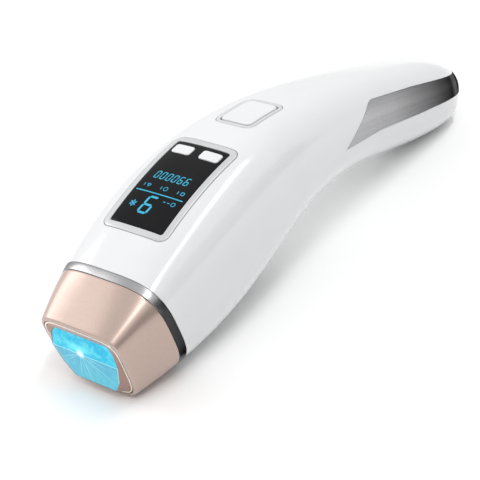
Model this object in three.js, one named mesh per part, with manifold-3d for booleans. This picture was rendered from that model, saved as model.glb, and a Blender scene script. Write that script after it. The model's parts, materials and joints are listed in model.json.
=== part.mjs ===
// Hand-held intense pulsed light hair remover, in millimetres.
// +X runs from the lamp head to the tail, +Y to the user's left, +Z up.
// The handset lies display side up on the lower edge of its lamp head and on the underside of its tail.
// The origin is the middle of its footprint, on the surface that it lies on.

import * as THREE from 'three';
import { mergeVertices } from 'three/addons/utils/BufferGeometryUtils.js';
import Module from 'manifold-3d';

const wasm = await Module();
wasm.setup();

// ---------------------------------------------------------------- driving dimensions

// Spine of the handset in the plane y = 0: a cubic curve from the front ring (t = 0) to the tail (t = 1).
const SPINE = [[-80.38, 17.14], [-20.38, 31.79], [-10.18, 47.19], [96.32, 5.14]];
// Half width and half height along the spine, as Bernstein coefficients of degree five.
const HALF_WIDTH = [20.2, 25.6, 23.7, 19.5, 16.1, 14.5];
const HALF_HEIGHT = [17.5, 26.0, 21.7, 14.8, 14.0, 16.6];
// Squareness of the section above and below the spine, at the ring and from SQUARE_BLEND on.
const SQUARE_TOP = [3.5, 3.0];
const SQUARE_BOTTOM = [2.7, 2.1];
const SQUARE_BLEND = 0.6;
// Rounding of the tail: where it starts along the spine, and how blunt it is.
const TAIL_WIDTH = { start: 0.9, power: 3.4 };
const TAIL_TOP = { start: 0.89, power: 3.1 };
const TAIL_BOTTOM = { start: 0.8, power: 2.2 };

const GAP = 0.3;
const WALL = 2.6;
const AROUND = 24;
const AROUND_INSIDE = 20;
const HOLLOW_END = 0.975;
const RING_END = 0.014;
const SHELL_START = 0.0163;
const SEAM = 0.74;

// Lamp head: a tapered cap in front of the ring, tilted with the start of the spine.
const HEAD = { length: 15.4, drop: 0.83, wall: 1.8, halfWidth: 15.1, halfHeight: 13.05 };
const FACE = { top: 5.4, bottom: 4.0, taper: 0.04 };
// Window: two planes that lean forward and meet in a crease. The edge is half of its outline, as y and
// height from the middle of the face, and each slope is the depth gained for each millimetre upwards.
const WINDOW = {
  edge: [[10.3, 9.0], [12.0, 6.9], [12.9, 2.5], [10.9, -4.2], [8.0, -8.8]],
  crease: 2.5,
  proud: 1.3,
  upperSlope: 0.2538,
  lowerSlope: 0.0664,
  reach: 10,
  depth: 3.2,
};
const WINDOW_FRAME = { depth: 3.4, lip: 1.0 };

// Display, keys and flash button: stations are t on the spine at the middle of each opening.
const DISPLAY = { t: 0.2255, length: 34.8, width: 20.0, corner: 1.0 };
const BEZEL = { length: 39.4, width: 24.6, corner: 3.0, flange: 1.5 };
const KEY = { u: 13.95, y: 5.3, length: 3.9, width: 7.2, corner: 1.0, stem: 1.1 };
const BUTTON = { t: 0.49, length: 15.2, width: 11.6, corner: 2.0, stem: 2.0 };
const BUTTON_FRAME = { length: 18.6, width: 14.6, corner: 2.9 };

// Tail trim: a wedge of bright metal seen from the side, as points in x and z.
const TRIM_UPPER = [[30.2, 38.6], [57.1, 30.5], [91.1, 19.4], [110, 13.2]];
const TRIM_LOWER = [[10.9, 30.7], [33.2, 26.5], [58.1, 19.8], [93.0, 11.4], [110, 7.2]];
const TRIM_PROUD = 0.12;
const TRIM_DEPTH = 1.2;

const VENTS = { from: 0.235, to: 0.345, count: 6, slot: 1.6, width: 15 };
const INLET = { radius: 3.9, bore: 2.75, depth: 12, pin: 1.0, recess: 1.6, floor: 1.5 };
const SCREW = { shank: 0.8, head: 1.9, clearance: 1.1, sink: 2.3, boss: 2.2 };
const SCREWS = [
  { t: 0.045, y: 8, shank: 4.2 },
  { t: 0.045, y: -8, shank: 4.2 },
  { t: 0.82, y: 5, shank: 6.5 },
  { t: 0.82, y: -5, shank: 6.5 },
];

// Inside the handset: stations are t on the spine, lifts are measured from the spine.
const FAN = { t: 0.255, side: 25, depth: 8, bore: 11.6, drop: -2, hub: 4.5, shaft: 0.8, blades: 7, span: 6.6 };
const HEAT_SINK = { t: 0.09, plate: 2, depth: 15, width: 25, height: 22, fins: 8, fin: 1.1 };
const CHASSIS = { from: 0.3, to: 0.88, share: 0.6, top: -7, thickness: 1.6 };
const MAIN_BOARD = { t: 0.52, length: 52, width: 25, thickness: 1.6, lift: -3.6, hole: 1.3 };
const CAPACITOR = { t: 0.8, radius: 8.5, length: 40, lift: 2 };
const LAMP = { radius: 2.1, length: 25, s: -5.4, cap: 2.6, capLength: 2.2 };
const CONTACTS = { y: 6, pad: 1.9, padLength: 4, pin: 1.2, pinLength: 5 };

// ---------------------------------------------------------------- finishes

const finish = (color, roughness, metalness = 0) => ({ color, roughness, metalness });
const GLOSS_WHITE = finish(0xf1f1f2, 0.18);
const ROSE = finish(0xd9b9ab, 0.3, 0.55);
const ROSE_DARK = finish(0xa87a6c, 0.35, 0.5);
const SILVER = finish(0xb9b9bb, 0.3, 1);
const PANEL_BLACK = finish(0x1d1e20, 0.1);
const GLOW_GLASS = finish(0x3fc8ea, 0.05);
const BLACK_PLASTIC = finish(0x26272a, 0.55);
const GREY_PLASTIC = finish(0x8b8e93, 0.6);
const BOARD_GREEN = finish(0x1c5a3a, 0.5);
const ALUMINIUM = finish(0xc4c7cb, 0.35, 1);
const STEEL = finish(0x9fa2a6, 0.35, 1);
const GOLD_PLATE = finish(0xc9a24a, 0.3, 1);
const QUARTZ = finish(0xdfe8ee, 0.05);
const SLEEVE_BLUE = finish(0x20304f, 0.4);
const TAPE_YELLOW = finish(0xc8a63a, 0.6);

const remover = new THREE.Group();

// ---------------------------------------------------------------- the handset's surface

// Value at t of the Bernstein polynomial with these coefficients.
function bernstein(coefficients, t) {
  let values = [...coefficients];
  while (values.length > 1) {
    values = values.slice(1).map((v, i) => values[i] * (1 - t) + v * t);
  }
  return values[0];
}

function rounding(t, { start, power }) {
  const e = THREE.MathUtils.clamp((t - start) / (1 - start), 0, 1);
  return (1 - e ** power) ** (1 / power);
}

function squareness(t, [first, last]) {
  return THREE.MathUtils.lerp(first, last, THREE.MathUtils.smoothstep(t, 0, SQUARE_BLEND));
}

// Frame of the spine at t: its centre, tilt above the x axis, and the tangent and upward normal.
function station(t) {
  const xs = SPINE.map((p) => p[0]);
  const zs = SPINE.map((p) => p[1]);
  const slope = (c) => bernstein(c.slice(1).map((v, i) => v - c[i]), t);
  const tilt = Math.atan2(slope(zs), slope(xs));
  return frameAt(new THREE.Vector3(bernstein(xs, t), 0, bernstein(zs, t)), tilt);
}

function frameAt(centre, tilt) {
  const along = new THREE.Vector3(Math.cos(tilt), 0, Math.sin(tilt));
  const up = new THREE.Vector3(-Math.sin(tilt), 0, Math.cos(tilt));
  return { centre, tilt, along, up };
}

// World point at distance s along, y across and n above a frame's centre.
function pointIn(frame, s, y, n) {
  const p = frame.centre.clone().addScaledVector(frame.along, s).addScaledVector(frame.up, n);
  p.y += y;
  return p;
}

// Half width, half heights and squareness of the section at t, grown by offset.
function sectionAt(t, offset) {
  const width = bernstein(HALF_WIDTH, t) * rounding(t, TAIL_WIDTH) + offset;
  const height = bernstein(HALF_HEIGHT, t);
  return {
    width: Math.max(width, 0),
    top: Math.max(height * rounding(t, TAIL_TOP) + offset, 0),
    bottom: Math.max(height * rounding(t, TAIL_BOTTOM) + offset, 0),
    squareTop: squareness(t, SQUARE_TOP),
    squareBottom: squareness(t, SQUARE_BOTTOM),
  };
}

// Points of a superellipse section about a frame, s ahead of it.
function sectionRing(frame, section, s = 0, count = AROUND) {
  const ring = [];
  for (let i = 0; i < count; i += 1) {
    const angle = (i / count) * 2 * Math.PI;
    const c = Math.cos(angle);
    const d = Math.sin(angle);
    const upper = d >= 0;
    const power = 2 / (upper ? section.squareTop : section.squareBottom);
    const height = upper ? section.top : section.bottom;
    const n = height * Math.sign(d) * Math.abs(d) ** power;
    const taper = section.taper ? 1 + (section.taper * n) / height : 1;
    const y = section.width * taper * Math.sign(c) * Math.abs(c) ** power;
    ring.push(pointIn(frame, s, y, n));
  }
  return ring;
}

// Point of the upper surface at t and y.
function topPoint(t, y) {
  const section = sectionAt(t, 0);
  const share = Math.min(Math.abs(y) / section.width, 1);
  const n = section.top * (1 - share ** section.squareTop) ** (1 / section.squareTop);
  return pointIn(station(t), 0, y, n);
}

// Frame that touches the upper surface at t, on the middle plane.
function topFrame(t) {
  const step = 0.001;
  const ahead = topPoint(t + step, 0).sub(topPoint(t - step, 0));
  return { ...frameAt(topPoint(t, 0), Math.atan2(ahead.z, ahead.x)), t, rate: ahead.length() / (2 * step) };
}

// Height of the upper surface above a top frame's plane, at u along and y across.
function heightOver(frame, u, y) {
  let t = frame.t + u / frame.rate;
  let offset = topPoint(t, y).sub(frame.centre);
  for (let i = 0; i < 3; i += 1) {
    t += (u - offset.dot(frame.along)) / frame.rate;
    offset = topPoint(t, y).sub(frame.centre);
  }
  return offset.dot(frame.up);
}

// ---------------------------------------------------------------- solids and booleans

function geometryOf(points, triangles) {
  const geometry = new THREE.BufferGeometry();
  const values = points.flatMap((p) => [p.x, p.y, p.z]);
  geometry.setAttribute('position', new THREE.Float32BufferAttribute(values, 3));
  geometry.setIndex(triangles.flat());
  return geometry;
}

// Closed body through rings of equal count that run along +X; each end is a fan about its middle.
function loft(rings) {
  const count = rings[0].length;
  const points = rings.flat();
  const triangles = [];
  for (let r = 0; r + 1 < rings.length; r += 1) {
    for (let i = 0; i < count; i += 1) {
      const a = r * count + i;
      const b = r * count + ((i + 1) % count);
      triangles.push([a, b, a + count], [b, b + count, a + count]);
    }
  }
  for (const [start, turn] of [[0, -1], [(rings.length - 1) * count, 1]]) {
    const middle = points.length;
    const ends = points.slice(start, start + count);
    points.push(ends.reduce((sum, p) => sum.add(p), new THREE.Vector3()).divideScalar(count));
    for (let i = 0; i < count; i += 1) {
      const pair = [start + i, start + ((i + 1) % count)];
      triangles.push([middle, ...(turn > 0 ? pair : pair.reverse())]);
    }
  }
  return geometryOf(points, triangles);
}

function solid(geometry) {
  const bare = geometry.clone();
  for (const name of ['normal', 'uv']) {
    bare.deleteAttribute(name);
  }
  const merged = mergeVertices(bare, 1e-4);
  const corners = merged.index.array;
  const kept = [];
  for (let i = 0; i < corners.length; i += 3) {
    const [a, b, c] = corners.slice(i, i + 3);
    if (a !== b && b !== c && c !== a) {
      kept.push(a, b, c);
    }
  }
  const vertProperties = merged.attributes.position.array;
  const mesh = new wasm.Mesh({ numProp: 3, vertProperties, triVerts: new Uint32Array(kept) });
  return new wasm.Manifold(mesh);
}

function geometryFrom(body) {
  const mesh = body.getMesh();
  const geometry = new THREE.BufferGeometry();
  geometry.setAttribute('position', new THREE.BufferAttribute(mesh.vertProperties, 3));
  geometry.setIndex(new THREE.BufferAttribute(mesh.triVerts, 1));
  return geometry;
}

const cut = (body, ...tools) => tools.reduce((rest, tool) => rest.subtract(tool), body);
const join = (body, ...others) => others.reduce((sum, other) => sum.add(other), body);

// Adds one named piece in a frame's axes, or in the object's own where no frame is given.
function addPart(name, shape, look, frame = null) {
  const geometry = shape.getMesh ? geometryFrom(shape) : shape;
  const mesh = new THREE.Mesh(geometry, new THREE.MeshStandardMaterial(look));
  mesh.name = name;
  if (!frame) {
    remover.add(mesh);
    return;
  }
  const place = new THREE.Group();
  place.position.copy(frame.centre);
  place.rotation.y = -frame.tilt;
  place.add(mesh);
  remover.add(place);
}

// Copy of a geometry moved from a frame's axes into the object's.
function inWorld(geometry, frame) {
  const matrix = new THREE.Matrix4().makeRotationY(-frame.tilt).setPosition(frame.centre);
  return geometry.clone().applyMatrix4(matrix);
}

function box(x, y, z, [cx, cy, cz] = [0, 0, 0]) {
  return new THREE.BoxGeometry(x, y, z).translate(cx, cy, cz);
}

// Cylinder along a frame's axis "x", "y" or "z".
function rod(radius, length, axis, [cx, cy, cz] = [0, 0, 0], sides = 16, endRadius = radius) {
  const geometry = new THREE.CylinderGeometry(endRadius, radius, length, sides);
  if (axis === 'x') {
    geometry.rotateZ(-Math.PI / 2);
  }
  if (axis === 'z') {
    geometry.rotateX(Math.PI / 2);
  }
  return geometry.translate(cx, cy, cz);
}

// Prism across the whole width, from an outline of points in x and z.
function crossPrism(outline, width = 80) {
  const shape = new THREE.Shape(outline.map(([x, z]) => new THREE.Vector2(x, z)));
  const options = { depth: width, bevelEnabled: false, curveSegments: 6 };
  return new THREE.ExtrudeGeometry(shape, options).rotateX(Math.PI / 2).translate(0, width / 2, 0);
}

// Outline of a rounded rectangle about the origin, anticlockwise, with its straight sides divided.
function roundedOutline(length, width, corner, arcs = 2, longest = 9) {
  const points = [];
  const centres = [[1, 1], [-1, 1], [-1, -1], [1, -1]];
  centres.forEach(([sx, sy], quarter) => {
    for (let i = 0; i <= arcs; i += 1) {
      const angle = (quarter + i / arcs) * (Math.PI / 2);
      const x = sx * (length / 2 - corner) + corner * Math.cos(angle);
      const y = sy * (width / 2 - corner) + corner * Math.sin(angle);
      points.push(new THREE.Vector2(x, y));
    }
  });
  return points.flatMap((p, i) => {
    const next = points[(i + 1) % points.length];
    const pieces = Math.ceil(p.distanceTo(next) / longest);
    return Array.from({ length: pieces }, (_, k) => p.clone().lerp(next, k / pieces));
  });
}

// Curved plate that follows the upper surface over an outline at (u, y), between two offsets from it.
function pad(frame, outline, high, low, [u0, y0] = [0, 0]) {
  const scales = [1, 0.45];
  const layer = (scale, offset) => outline.map((p) => {
    const u = u0 + p.x * scale;
    const y = y0 + p.y * scale;
    return new THREE.Vector3(u, y, heightOver(frame, u, y) + offset);
  });
  const rings = [...[...scales].reverse().map((k) => layer(k, low)), ...scales.map((k) => layer(k, high))];
  return loft(rings);
}

// Body of the handset's own shape through these stations, grown by offset and slid along the spine.
function bodyLoft(stations, offset, slide = 0, count = AROUND) {
  return loft(stations.map((t) => sectionRing(station(t), sectionAt(t, offset), slide, count)));
}

function spread(from, to, count) {
  return Array.from({ length: count + 1 }, (_, i) => from + ((to - from) * i) / count);
}

// Stations that crowd towards the rounded tail.
function tailStations(from, count) {
  const straight = spread(from, 0.88, count);
  const round = spread(0, Math.PI / 2, 7).slice(1).map((a) => 0.88 + 0.12 * Math.sin(a));
  return [...straight, ...round];
}

// ---------------------------------------------------------------- shells, ring and trim

// Outline of everything above (side = 1) or below (side = -1) the seam on the underside.
function seamOutline(side) {
  const line = spread(0, 0.93, 16).map((t) => pointIn(station(t), 0, 0, -SEAM * bernstein(HALF_HEIGHT, t)));
  const first = line[0].clone().sub(line[1]).multiplyScalar(3).add(line[0]);
  const last = line[16].clone().sub(line[15]).multiplyScalar(4).add(line[16]);
  const edge = [first, ...line, last].map((p) => [p.x, p.z + (side * GAP) / 2]);
  const far = side > 0 ? 90 : -40;
  return [...edge, [last.x, far], [first.x, far]];
}

const TRIM_STATIONS = tailStations(0.45, 9);

function trimOutline(clearance) {
  const upper = TRIM_UPPER.map(([x, z], i) => [x - (i ? 0 : clearance), z + clearance]);
  const [first, ...rest] = TRIM_LOWER;
  const corner = [first[0] - 2 * clearance, first[1] - clearance / 2];
  return [corner, ...rest.map(([x, z]) => [x, z - clearance]), ...upper.reverse()];
}

function buildShells() {
  const outside = bodyLoft(tailStations(SHELL_START, 14), 0);
  const hollow = bodyLoft([-0.01, ...spread(0.005, HOLLOW_END, 10)], -WALL, 0, AROUND_INSIDE);
  const shell = cut(solid(outside), solid(hollow));

  const depth = TRIM_DEPTH + GAP;
  const groove = cut(solid(bodyLoft(TRIM_STATIONS, 3, 3)), solid(bodyLoft(TRIM_STATIONS, -depth, -depth)));
  const recess = groove.intersect(solid(crossPrism(trimOutline(GAP))));
  const tail = station(1);
  const socket = solid(inWorld(rod(INLET.radius + GAP, 34, 'x', [-12, 0, 0]), tail));

  const display = topFrame(DISPLAY.t);
  const displayHole = pad(display, grown(BEZEL, GAP), 3, -5);
  const button = topFrame(BUTTON.t);
  const buttonHole = pad(button, grown(BUTTON_FRAME, GAP), 3, -5);

  const upper = cut(
    shell.intersect(solid(crossPrism(seamOutline(1)))),
    recess,
    socket,
    solid(inWorld(displayHole, display)),
    solid(inWorld(buttonHole, button)),
  );
  addPart('upper_shell', upper, GLOSS_WHITE);

  const slot = box(VENTS.slot, VENTS.width, 12, [0, 0, -20]);
  const vents = spread(VENTS.from, VENTS.to, VENTS.count - 1).map((t) => solid(inWorld(slot, station(t))));
  const screwHoles = SCREWS.flatMap(({ t, y }) => {
    const floor = coverFloor(t, y);
    const frame = station(t);
    return [
      solid(inWorld(rod(SCREW.clearance, 12, 'z', [0, y, floor + 1]), frame)),
      solid(inWorld(rod(SCREW.sink, 10, 'z', [0, y, floor + 1.2 - 5]), frame)),
    ];
  });
  const cover = cut(shell.intersect(solid(crossPrism(seamOutline(-1)))), ...vents, ...screwHoles);
  addPart('bottom_cover', cover, GLOSS_WHITE);
}

function grown(size, margin) {
  return roundedOutline(size.length + 2 * margin, size.width + 2 * margin, size.corner + margin);
}

// Height of the foot of a screw boss above the cover's inner face, from the spine at t and y.
function bossFoot(t, y) {
  return coverFloor(t, Math.abs(y) + SCREW.boss) + WALL + 4 * GAP;
}

// Height of the cover's outer face below the spine at t and y.
function coverFloor(t, y) {
  const { width, bottom, squareBottom } = sectionAt(t, 0);
  return -bottom * (1 - (Math.abs(y) / width) ** squareBottom) ** (1 / squareBottom);
}

function buildFrontRing() {
  const stations = spread(0, RING_END, 2);
  const outer = solid(bodyLoft(stations, 0.05));
  const bore = solid(bodyLoft([-0.01, 0.03], -2.3));
  addPart('front_ring', cut(outer, bore), SILVER);
}

function buildTailTrim() {
  const outer = solid(bodyLoft(TRIM_STATIONS, TRIM_PROUD, TRIM_PROUD));
  const band = cut(outer, solid(bodyLoft(TRIM_STATIONS, -TRIM_DEPTH, -TRIM_DEPTH)));
  addPart('tail_trim', band.intersect(solid(crossPrism(trimOutline(0)))), SILVER);
}

function buildCoverScrews() {
  SCREWS.forEach(({ t, y, shank }, i) => {
    const floor = coverFloor(t, y);
    const head = solid(rod(SCREW.head, 0.7, 'z', [0, y, floor + 0.5]));
    const thread = solid(rod(SCREW.shank, shank, 'z', [0, y, floor + 0.8 + shank / 2], 10));
    const slot = solid(box(2.6, 0.6, 0.8, [0, y, floor + 0.15]));
    const cross = solid(box(0.6, 2.6, 0.8, [0, y, floor + 0.15]));
    addPart(`cover_screw_${i + 1}`, cut(join(head, thread), slot, cross), STEEL, station(t));
  });
}

// ---------------------------------------------------------------- display and keys

function buildDisplay() {
  const frame = topFrame(DISPLAY.t);
  const seat = solid(pad(frame, grown(DISPLAY, GAP), 3, -1.9));
  const aperture = solid(pad(frame, grown(DISPLAY, -0.5), 3, -8));
  const rim = solid(pad(frame, grown(BEZEL, 0), 0.2, -4.4));
  const flange = solid(pad(frame, grown(BEZEL, BEZEL.flange), -3.7, -4.4));
  addPart('display_bezel', cut(join(rim, flange), seat, aperture), SILVER, frame);

  const sides = [['mode', 1], ['level', -1]];
  const keyHoles = sides.map(([, side]) => {
    return solid(pad(frame, grown(KEY, GAP), 3, -5, [KEY.u, side * KEY.y]));
  });
  const lens = solid(pad(frame, grown(DISPLAY, 0), 0.05, -1.6));
  addPart('display_lens', cut(lens, ...keyHoles), PANEL_BLACK, frame);

  for (const [name, side] of sides) {
    const place = [KEY.u, side * KEY.y];
    const cap = solid(pad(frame, grown(KEY, 0), 0.35, -2.4, place));
    const edge = solid(pad(frame, grown(KEY, 0.3), -2.0, -2.5, place));
    const stem = solid(rod(KEY.stem, 1.9, 'z', [...place, -2.85], 12));
    addPart(`${name}_key`, join(cap, edge, stem), GLOSS_WHITE, frame);

    const body = solid(box(4.6, 4.6, 1.3, [...place, -5.35]));
    const plunger = solid(rod(0.9, 0.5, 'z', [...place, -4.65], 10));
    addPart(`${name}_switch`, join(body, plunger), STEEL, frame);
  }

  const glass = solid(box(25, 16.6, 1.0, [-3, 0, -3.65]));
  const backlight = solid(box(26, 17.4, 1.6, [-3, 0, -4.85]));
  addPart('display_module', join(glass, backlight), BLACK_PLASTIC, frame);

  const board = solid(box(32.6, 17, 1.2, [0.9, 0, -7]));
  const corners = [[-14.5, 7], [-14.5, -7]].map(([x, y]) => solid(rod(1.1, 4, 'z', [x, y, -7], 12)));
  addPart('display_board', cut(board, ...corners), BOARD_GREEN, frame);
}

function buildFlashButton() {
  const frame = topFrame(BUTTON.t);
  const rim = solid(pad(frame, grown(BUTTON_FRAME, 0), 0.12, -3.9));
  const flange = solid(pad(frame, grown(BUTTON_FRAME, 1.2), -3.2, -3.9));
  const bore = solid(pad(frame, grown(BUTTON, GAP), 3, -8));
  addPart('flash_button_frame', cut(join(rim, flange), bore), GLOSS_WHITE, frame);

  const cap = solid(pad(frame, grown(BUTTON, 0), 0.4, -4.4));
  const stop = solid(pad(frame, grown(BUTTON, 0.8), -4.2, -4.8));
  const stem = solid(rod(BUTTON.stem, 1.2, 'z', [0, 0, -4.7]));
  addPart('flash_button', join(cap, stop, stem), GLOSS_WHITE, frame);

  const body = solid(box(7, 7, 2.2, [0, 0, -7.85]));
  const plunger = solid(rod(1.5, 0.5, 'z', [0, 0, -6.7]));
  addPart('flash_switch', join(body, plunger), STEEL, frame);

  const board = solid(box(19, 17, 1.2, [0, 0, -9.85]));
  const holes = [[-8, 6.5], [8, -6.5]].map(([x, y]) => solid(rod(0.9, 4, 'z', [x, y, -9.85], 12)));
  addPart('button_board', cut(board, ...holes), BOARD_GREEN, frame);
}

// ---------------------------------------------------------------- inside the handset

// Strip that follows the spine below it, with ribs for the capacitor and bosses for the cover screws.
function buildChassis() {
  const { from, to, share, top, thickness } = CHASSIS;
  const rings = spread(from, to, 9).map((t) => {
    const width = sectionAt(t, -WALL).width * share;
    const frame = station(t);
    const corners = [[width, top - thickness], [width, top], [-width, top], [-width, top - thickness]];
    return corners.map(([y, n]) => pointIn(frame, 0, y, n));
  });
  const strip = solid(loft(rings));
  const capacitor = station(CAPACITOR.t);
  const ribs = [-14, 14].map((s) => solid(inWorld(box(2, 15, 9, [s, 0, -4]), capacitor)));
  const cradle = rod(CAPACITOR.radius + GAP, 60, 'x', [0, 0, CAPACITOR.lift], 24);
  const rear = SCREWS.filter(({ t }) => t > from);
  const bosses = rear.map(({ t, y }) => {
    const low = bossFoot(t, y);
    const high = top - thickness / 2;
    return solid(inWorld(rod(SCREW.boss, high - low, 'z', [0, y, (high + low) / 2], 12), station(t)));
  });
  const pilots = rear.map(({ t, y }) => {
    return solid(inWorld(rod(SCREW.shank + GAP, 5.5, 'z', [0, y, bossFoot(t, y) + 2.25], 10), station(t)));
  });
  const whole = join(strip, ...ribs, ...bosses);
  addPart('chassis', cut(whole, solid(inWorld(cradle, capacitor)), ...pilots), GREY_PLASTIC);
}

function buildElectronics() {
  const { t, length, width, thickness, lift, hole } = MAIN_BOARD;
  const middle = station(t);
  const board = solid(box(length, width, thickness, [0, 0, lift]));
  const holes = [[-1, 1], [-1, -1], [1, 1], [1, -1]].map(([sx, sy]) => {
    return solid(rod(hole, 4, 'z', [sx * (length / 2 - 3), sy * (width / 2 - 2.5), lift], 12));
  });
  addPart('main_board', cut(board, ...holes), BOARD_GREEN, middle);

  const core = solid(box(15, 13, 10.5, [16, 0, 2.75]));
  const windingWindow = solid(box(16, 3, 5, [16, 4.2, 2.75]));
  const otherWindow = solid(box(16, 3, 5, [16, -4.2, 2.75]));
  addPart('charge_transformer', cut(core, windingWindow, otherWindow), TAPE_YELLOW, middle);

  const bobbin = solid(rod(4.2, 9, 'x', [-16, 6, 2], 16));
  const cheeks = [-20, -12].map((x) => solid(box(1.2, 9.6, 9.6, [x, 6, 2.1])));
  addPart('trigger_coil', join(bobbin, ...cheeks), TAPE_YELLOW, middle);

  const end = CAPACITOR.length / 2;
  const { radius } = CAPACITOR;
  const can = new THREE.LatheGeometry([
    new THREE.Vector2(0, -end),
    new THREE.Vector2(radius - 0.5, -end),
    new THREE.Vector2(radius, 0.6 - end),
    new THREE.Vector2(radius, end - 3.5),
    new THREE.Vector2(radius - 0.5, end - 2.8),
    new THREE.Vector2(radius, end - 2.1),
    new THREE.Vector2(radius - 0.3, end),
    new THREE.Vector2(0, end),
  ], 24).rotateZ(-Math.PI / 2).translate(0, 0, CAPACITOR.lift);
  addPart('main_capacitor', can, SLEEVE_BLUE, station(CAPACITOR.t));
}

function buildCooling() {
  const sink = HEAT_SINK;
  const plate = solid(box(sink.plate, sink.width, sink.height, [sink.plate / 2, 0, FAN.drop]));
  const reach = (sink.width - 1.8) / 2;
  const fins = spread(-reach, reach, sink.fins - 1).map((y) => {
    return solid(box(sink.depth, sink.fin, sink.height, [sink.depth / 2 + 1, y, FAN.drop]));
  });
  addPart('heat_sink', join(plate, ...fins), ALUMINIUM, station(sink.t));

  const frame = station(FAN.t);
  const { side, depth, bore, drop } = FAN;
  const block = solid(box(depth, side, side, [0, 0, drop]));
  const duct = solid(rod(bore, 20, 'x', [0, 0, drop], 28));
  const thick = 1.2;
  const back = depth / 2 - thick / 2;
  const struts = [0, 1, 2].map((i) => {
    const arm = box(thick, 1.6, bore + 0.6, [back, 0, (bore + 0.6) / 2]);
    return solid(arm.rotateX((i * 2 * Math.PI) / 3).translate(0, 0, drop));
  });
  const hub = solid(rod(FAN.hub, thick, 'x', [back, 0, drop], 20));
  const bearing = solid(rod(FAN.shaft + GAP, 4, 'x', [back, 0, drop], 12));
  addPart('fan_frame', cut(join(cut(block, duct), hub, ...struts), bearing), BLACK_PLASTIC, frame);

  const middle = -0.9;
  const drum = solid(rod(FAN.hub + 0.1, 5.6, 'x', [middle, 0, 0], 20));
  const shaft = solid(rod(FAN.shaft, depth, 'x', [-0.3, 0, 0], 10));
  const blades = Array.from({ length: FAN.blades }, (_, i) => {
    const blade = box(5, 0.8, FAN.span).rotateZ(0.6).translate(middle, 0, 7.4);
    return solid(blade.rotateX((i * 2 * Math.PI) / FAN.blades));
  });
  const rotor = join(drum, shaft, ...blades);
  addPart('fan_rotor', rotor, BLACK_PLASTIC, { ...frame, centre: pointIn(frame, 0, 0, drop) });
}

// Body of the ring's own section, shrunk by -offset, between two distances behind the ring's front edge.
function plugShape(from, to, offset) {
  const front = station(0);
  return solid(loft([from, to].map((s) => sectionRing(front, sectionAt(0, offset), s, AROUND_INSIDE))));
}

// Cup behind the ring that the lamp head plugs into, with two contacts through its floor.
function buildLampSocket() {
  const front = station(0);
  const outer = plugShape(GAP, 11, -2.9);
  const inner = plugShape(-1, 9.4, -4.3);
  const { y: apart, pad: radius, padLength } = CONTACTS;
  const holes = [apart, -apart].map((y) => {
    return solid(inWorld(rod(radius + GAP + 0.1, 6, 'x', [10, y, 0], 14), front));
  });
  const forward = SCREWS.filter(({ t }) => t < CHASSIS.from);
  const standing = (size, length) => forward.map(({ t, y }) => {
    return solid(inWorld(rod(size, length, 'z', [0, y, bossFoot(t, y) + 1.2], 12), station(t)));
  });
  const bosses = standing(SCREW.boss, 2.4);
  const pilots = standing(SCREW.shank + GAP, 3);
  const cup = cut(join(outer, ...bosses), inner, ...pilots, ...holes);
  addPart('lamp_socket', cup, BLACK_PLASTIC);
  [apart, -apart].forEach((y, i) => {
    addPart(`socket_contact_${i + 1}`, rod(radius, padLength, 'x', [10.9, y, 0], 14), GOLD_PLATE, front);
  });
}

function buildInlet() {
  const tail = station(1);
  const { radius, bore, depth, pin, recess, floor } = INLET;
  const middle = -recess - depth / 2;
  const sleeve = solid(rod(radius, depth, 'x', [middle, 0, 0], 20));
  const hole = solid(rod(bore, depth, 'x', [middle + floor, 0, 0], 20));
  const pinHole = solid(rod(pin + GAP, depth, 'x', [middle - depth / 2, 0, 0], 12));
  addPart('dc_inlet', cut(sleeve, hole, pinHole), BLACK_PLASTIC, tail);
  addPart('dc_inlet_pin', rod(pin, depth - floor, 'x', [middle - floor, 0, 0], 12), GOLD_PLATE, tail);
}

// ---------------------------------------------------------------- lamp head

// Section of the lamp head, s behind the ring's front edge (negative), grown by offset.
function headSection(s, offset) {
  const share = -s / HEAD.length;
  const ring = sectionAt(0, 0);
  const mix = (a, b) => THREE.MathUtils.lerp(a, b, share);
  return {
    width: mix(ring.width, HEAD.halfWidth) + offset,
    top: mix(ring.top, HEAD.halfHeight) + offset,
    bottom: mix(ring.bottom, HEAD.halfHeight) + offset,
    squareTop: mix(ring.squareTop, FACE.top),
    squareBottom: mix(ring.squareBottom, FACE.bottom),
    taper: FACE.taper * share,
  };
}

function headRing(s, offset, at = s) {
  const frame = station(0);
  const centre = pointIn(frame, 0, 0, HEAD.drop * (s / HEAD.length));
  return sectionRing({ ...frame, centre }, headSection(s, offset), at);
}

// Frame of the treatment face, in the middle of its front plane.
function faceFrame() {
  const front = station(0);
  return frameAt(pointIn(front, -HEAD.length, 0, -HEAD.drop), front.tilt);
}

// Depth of the window's planes behind the face, at a height from its middle.
function windowDepth(n) {
  const slope = n > WINDOW.crease ? WINDOW.upperSlope : WINDOW.lowerSlope;
  return slope * (n - WINDOW.crease) - WINDOW.proud;
}

// Points of the window's edge, drawn in by an inset, each at the depth given for its height.
function windowPoints(inset, depthAt) {
  const face = faceFrame();
  const { edge, crease, reach } = WINDOW;
  return [1, -1].flatMap((side) => edge.map(([y, n]) => {
    const height = crease + (n - crease) * (1 - inset / reach);
    return pointIn(face, depthAt(height), side * (y - inset), height);
  }));
}

const hullOf = (points) => wasm.Manifold.hull(points.map((p) => [p.x, p.y, p.z]));

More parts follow.
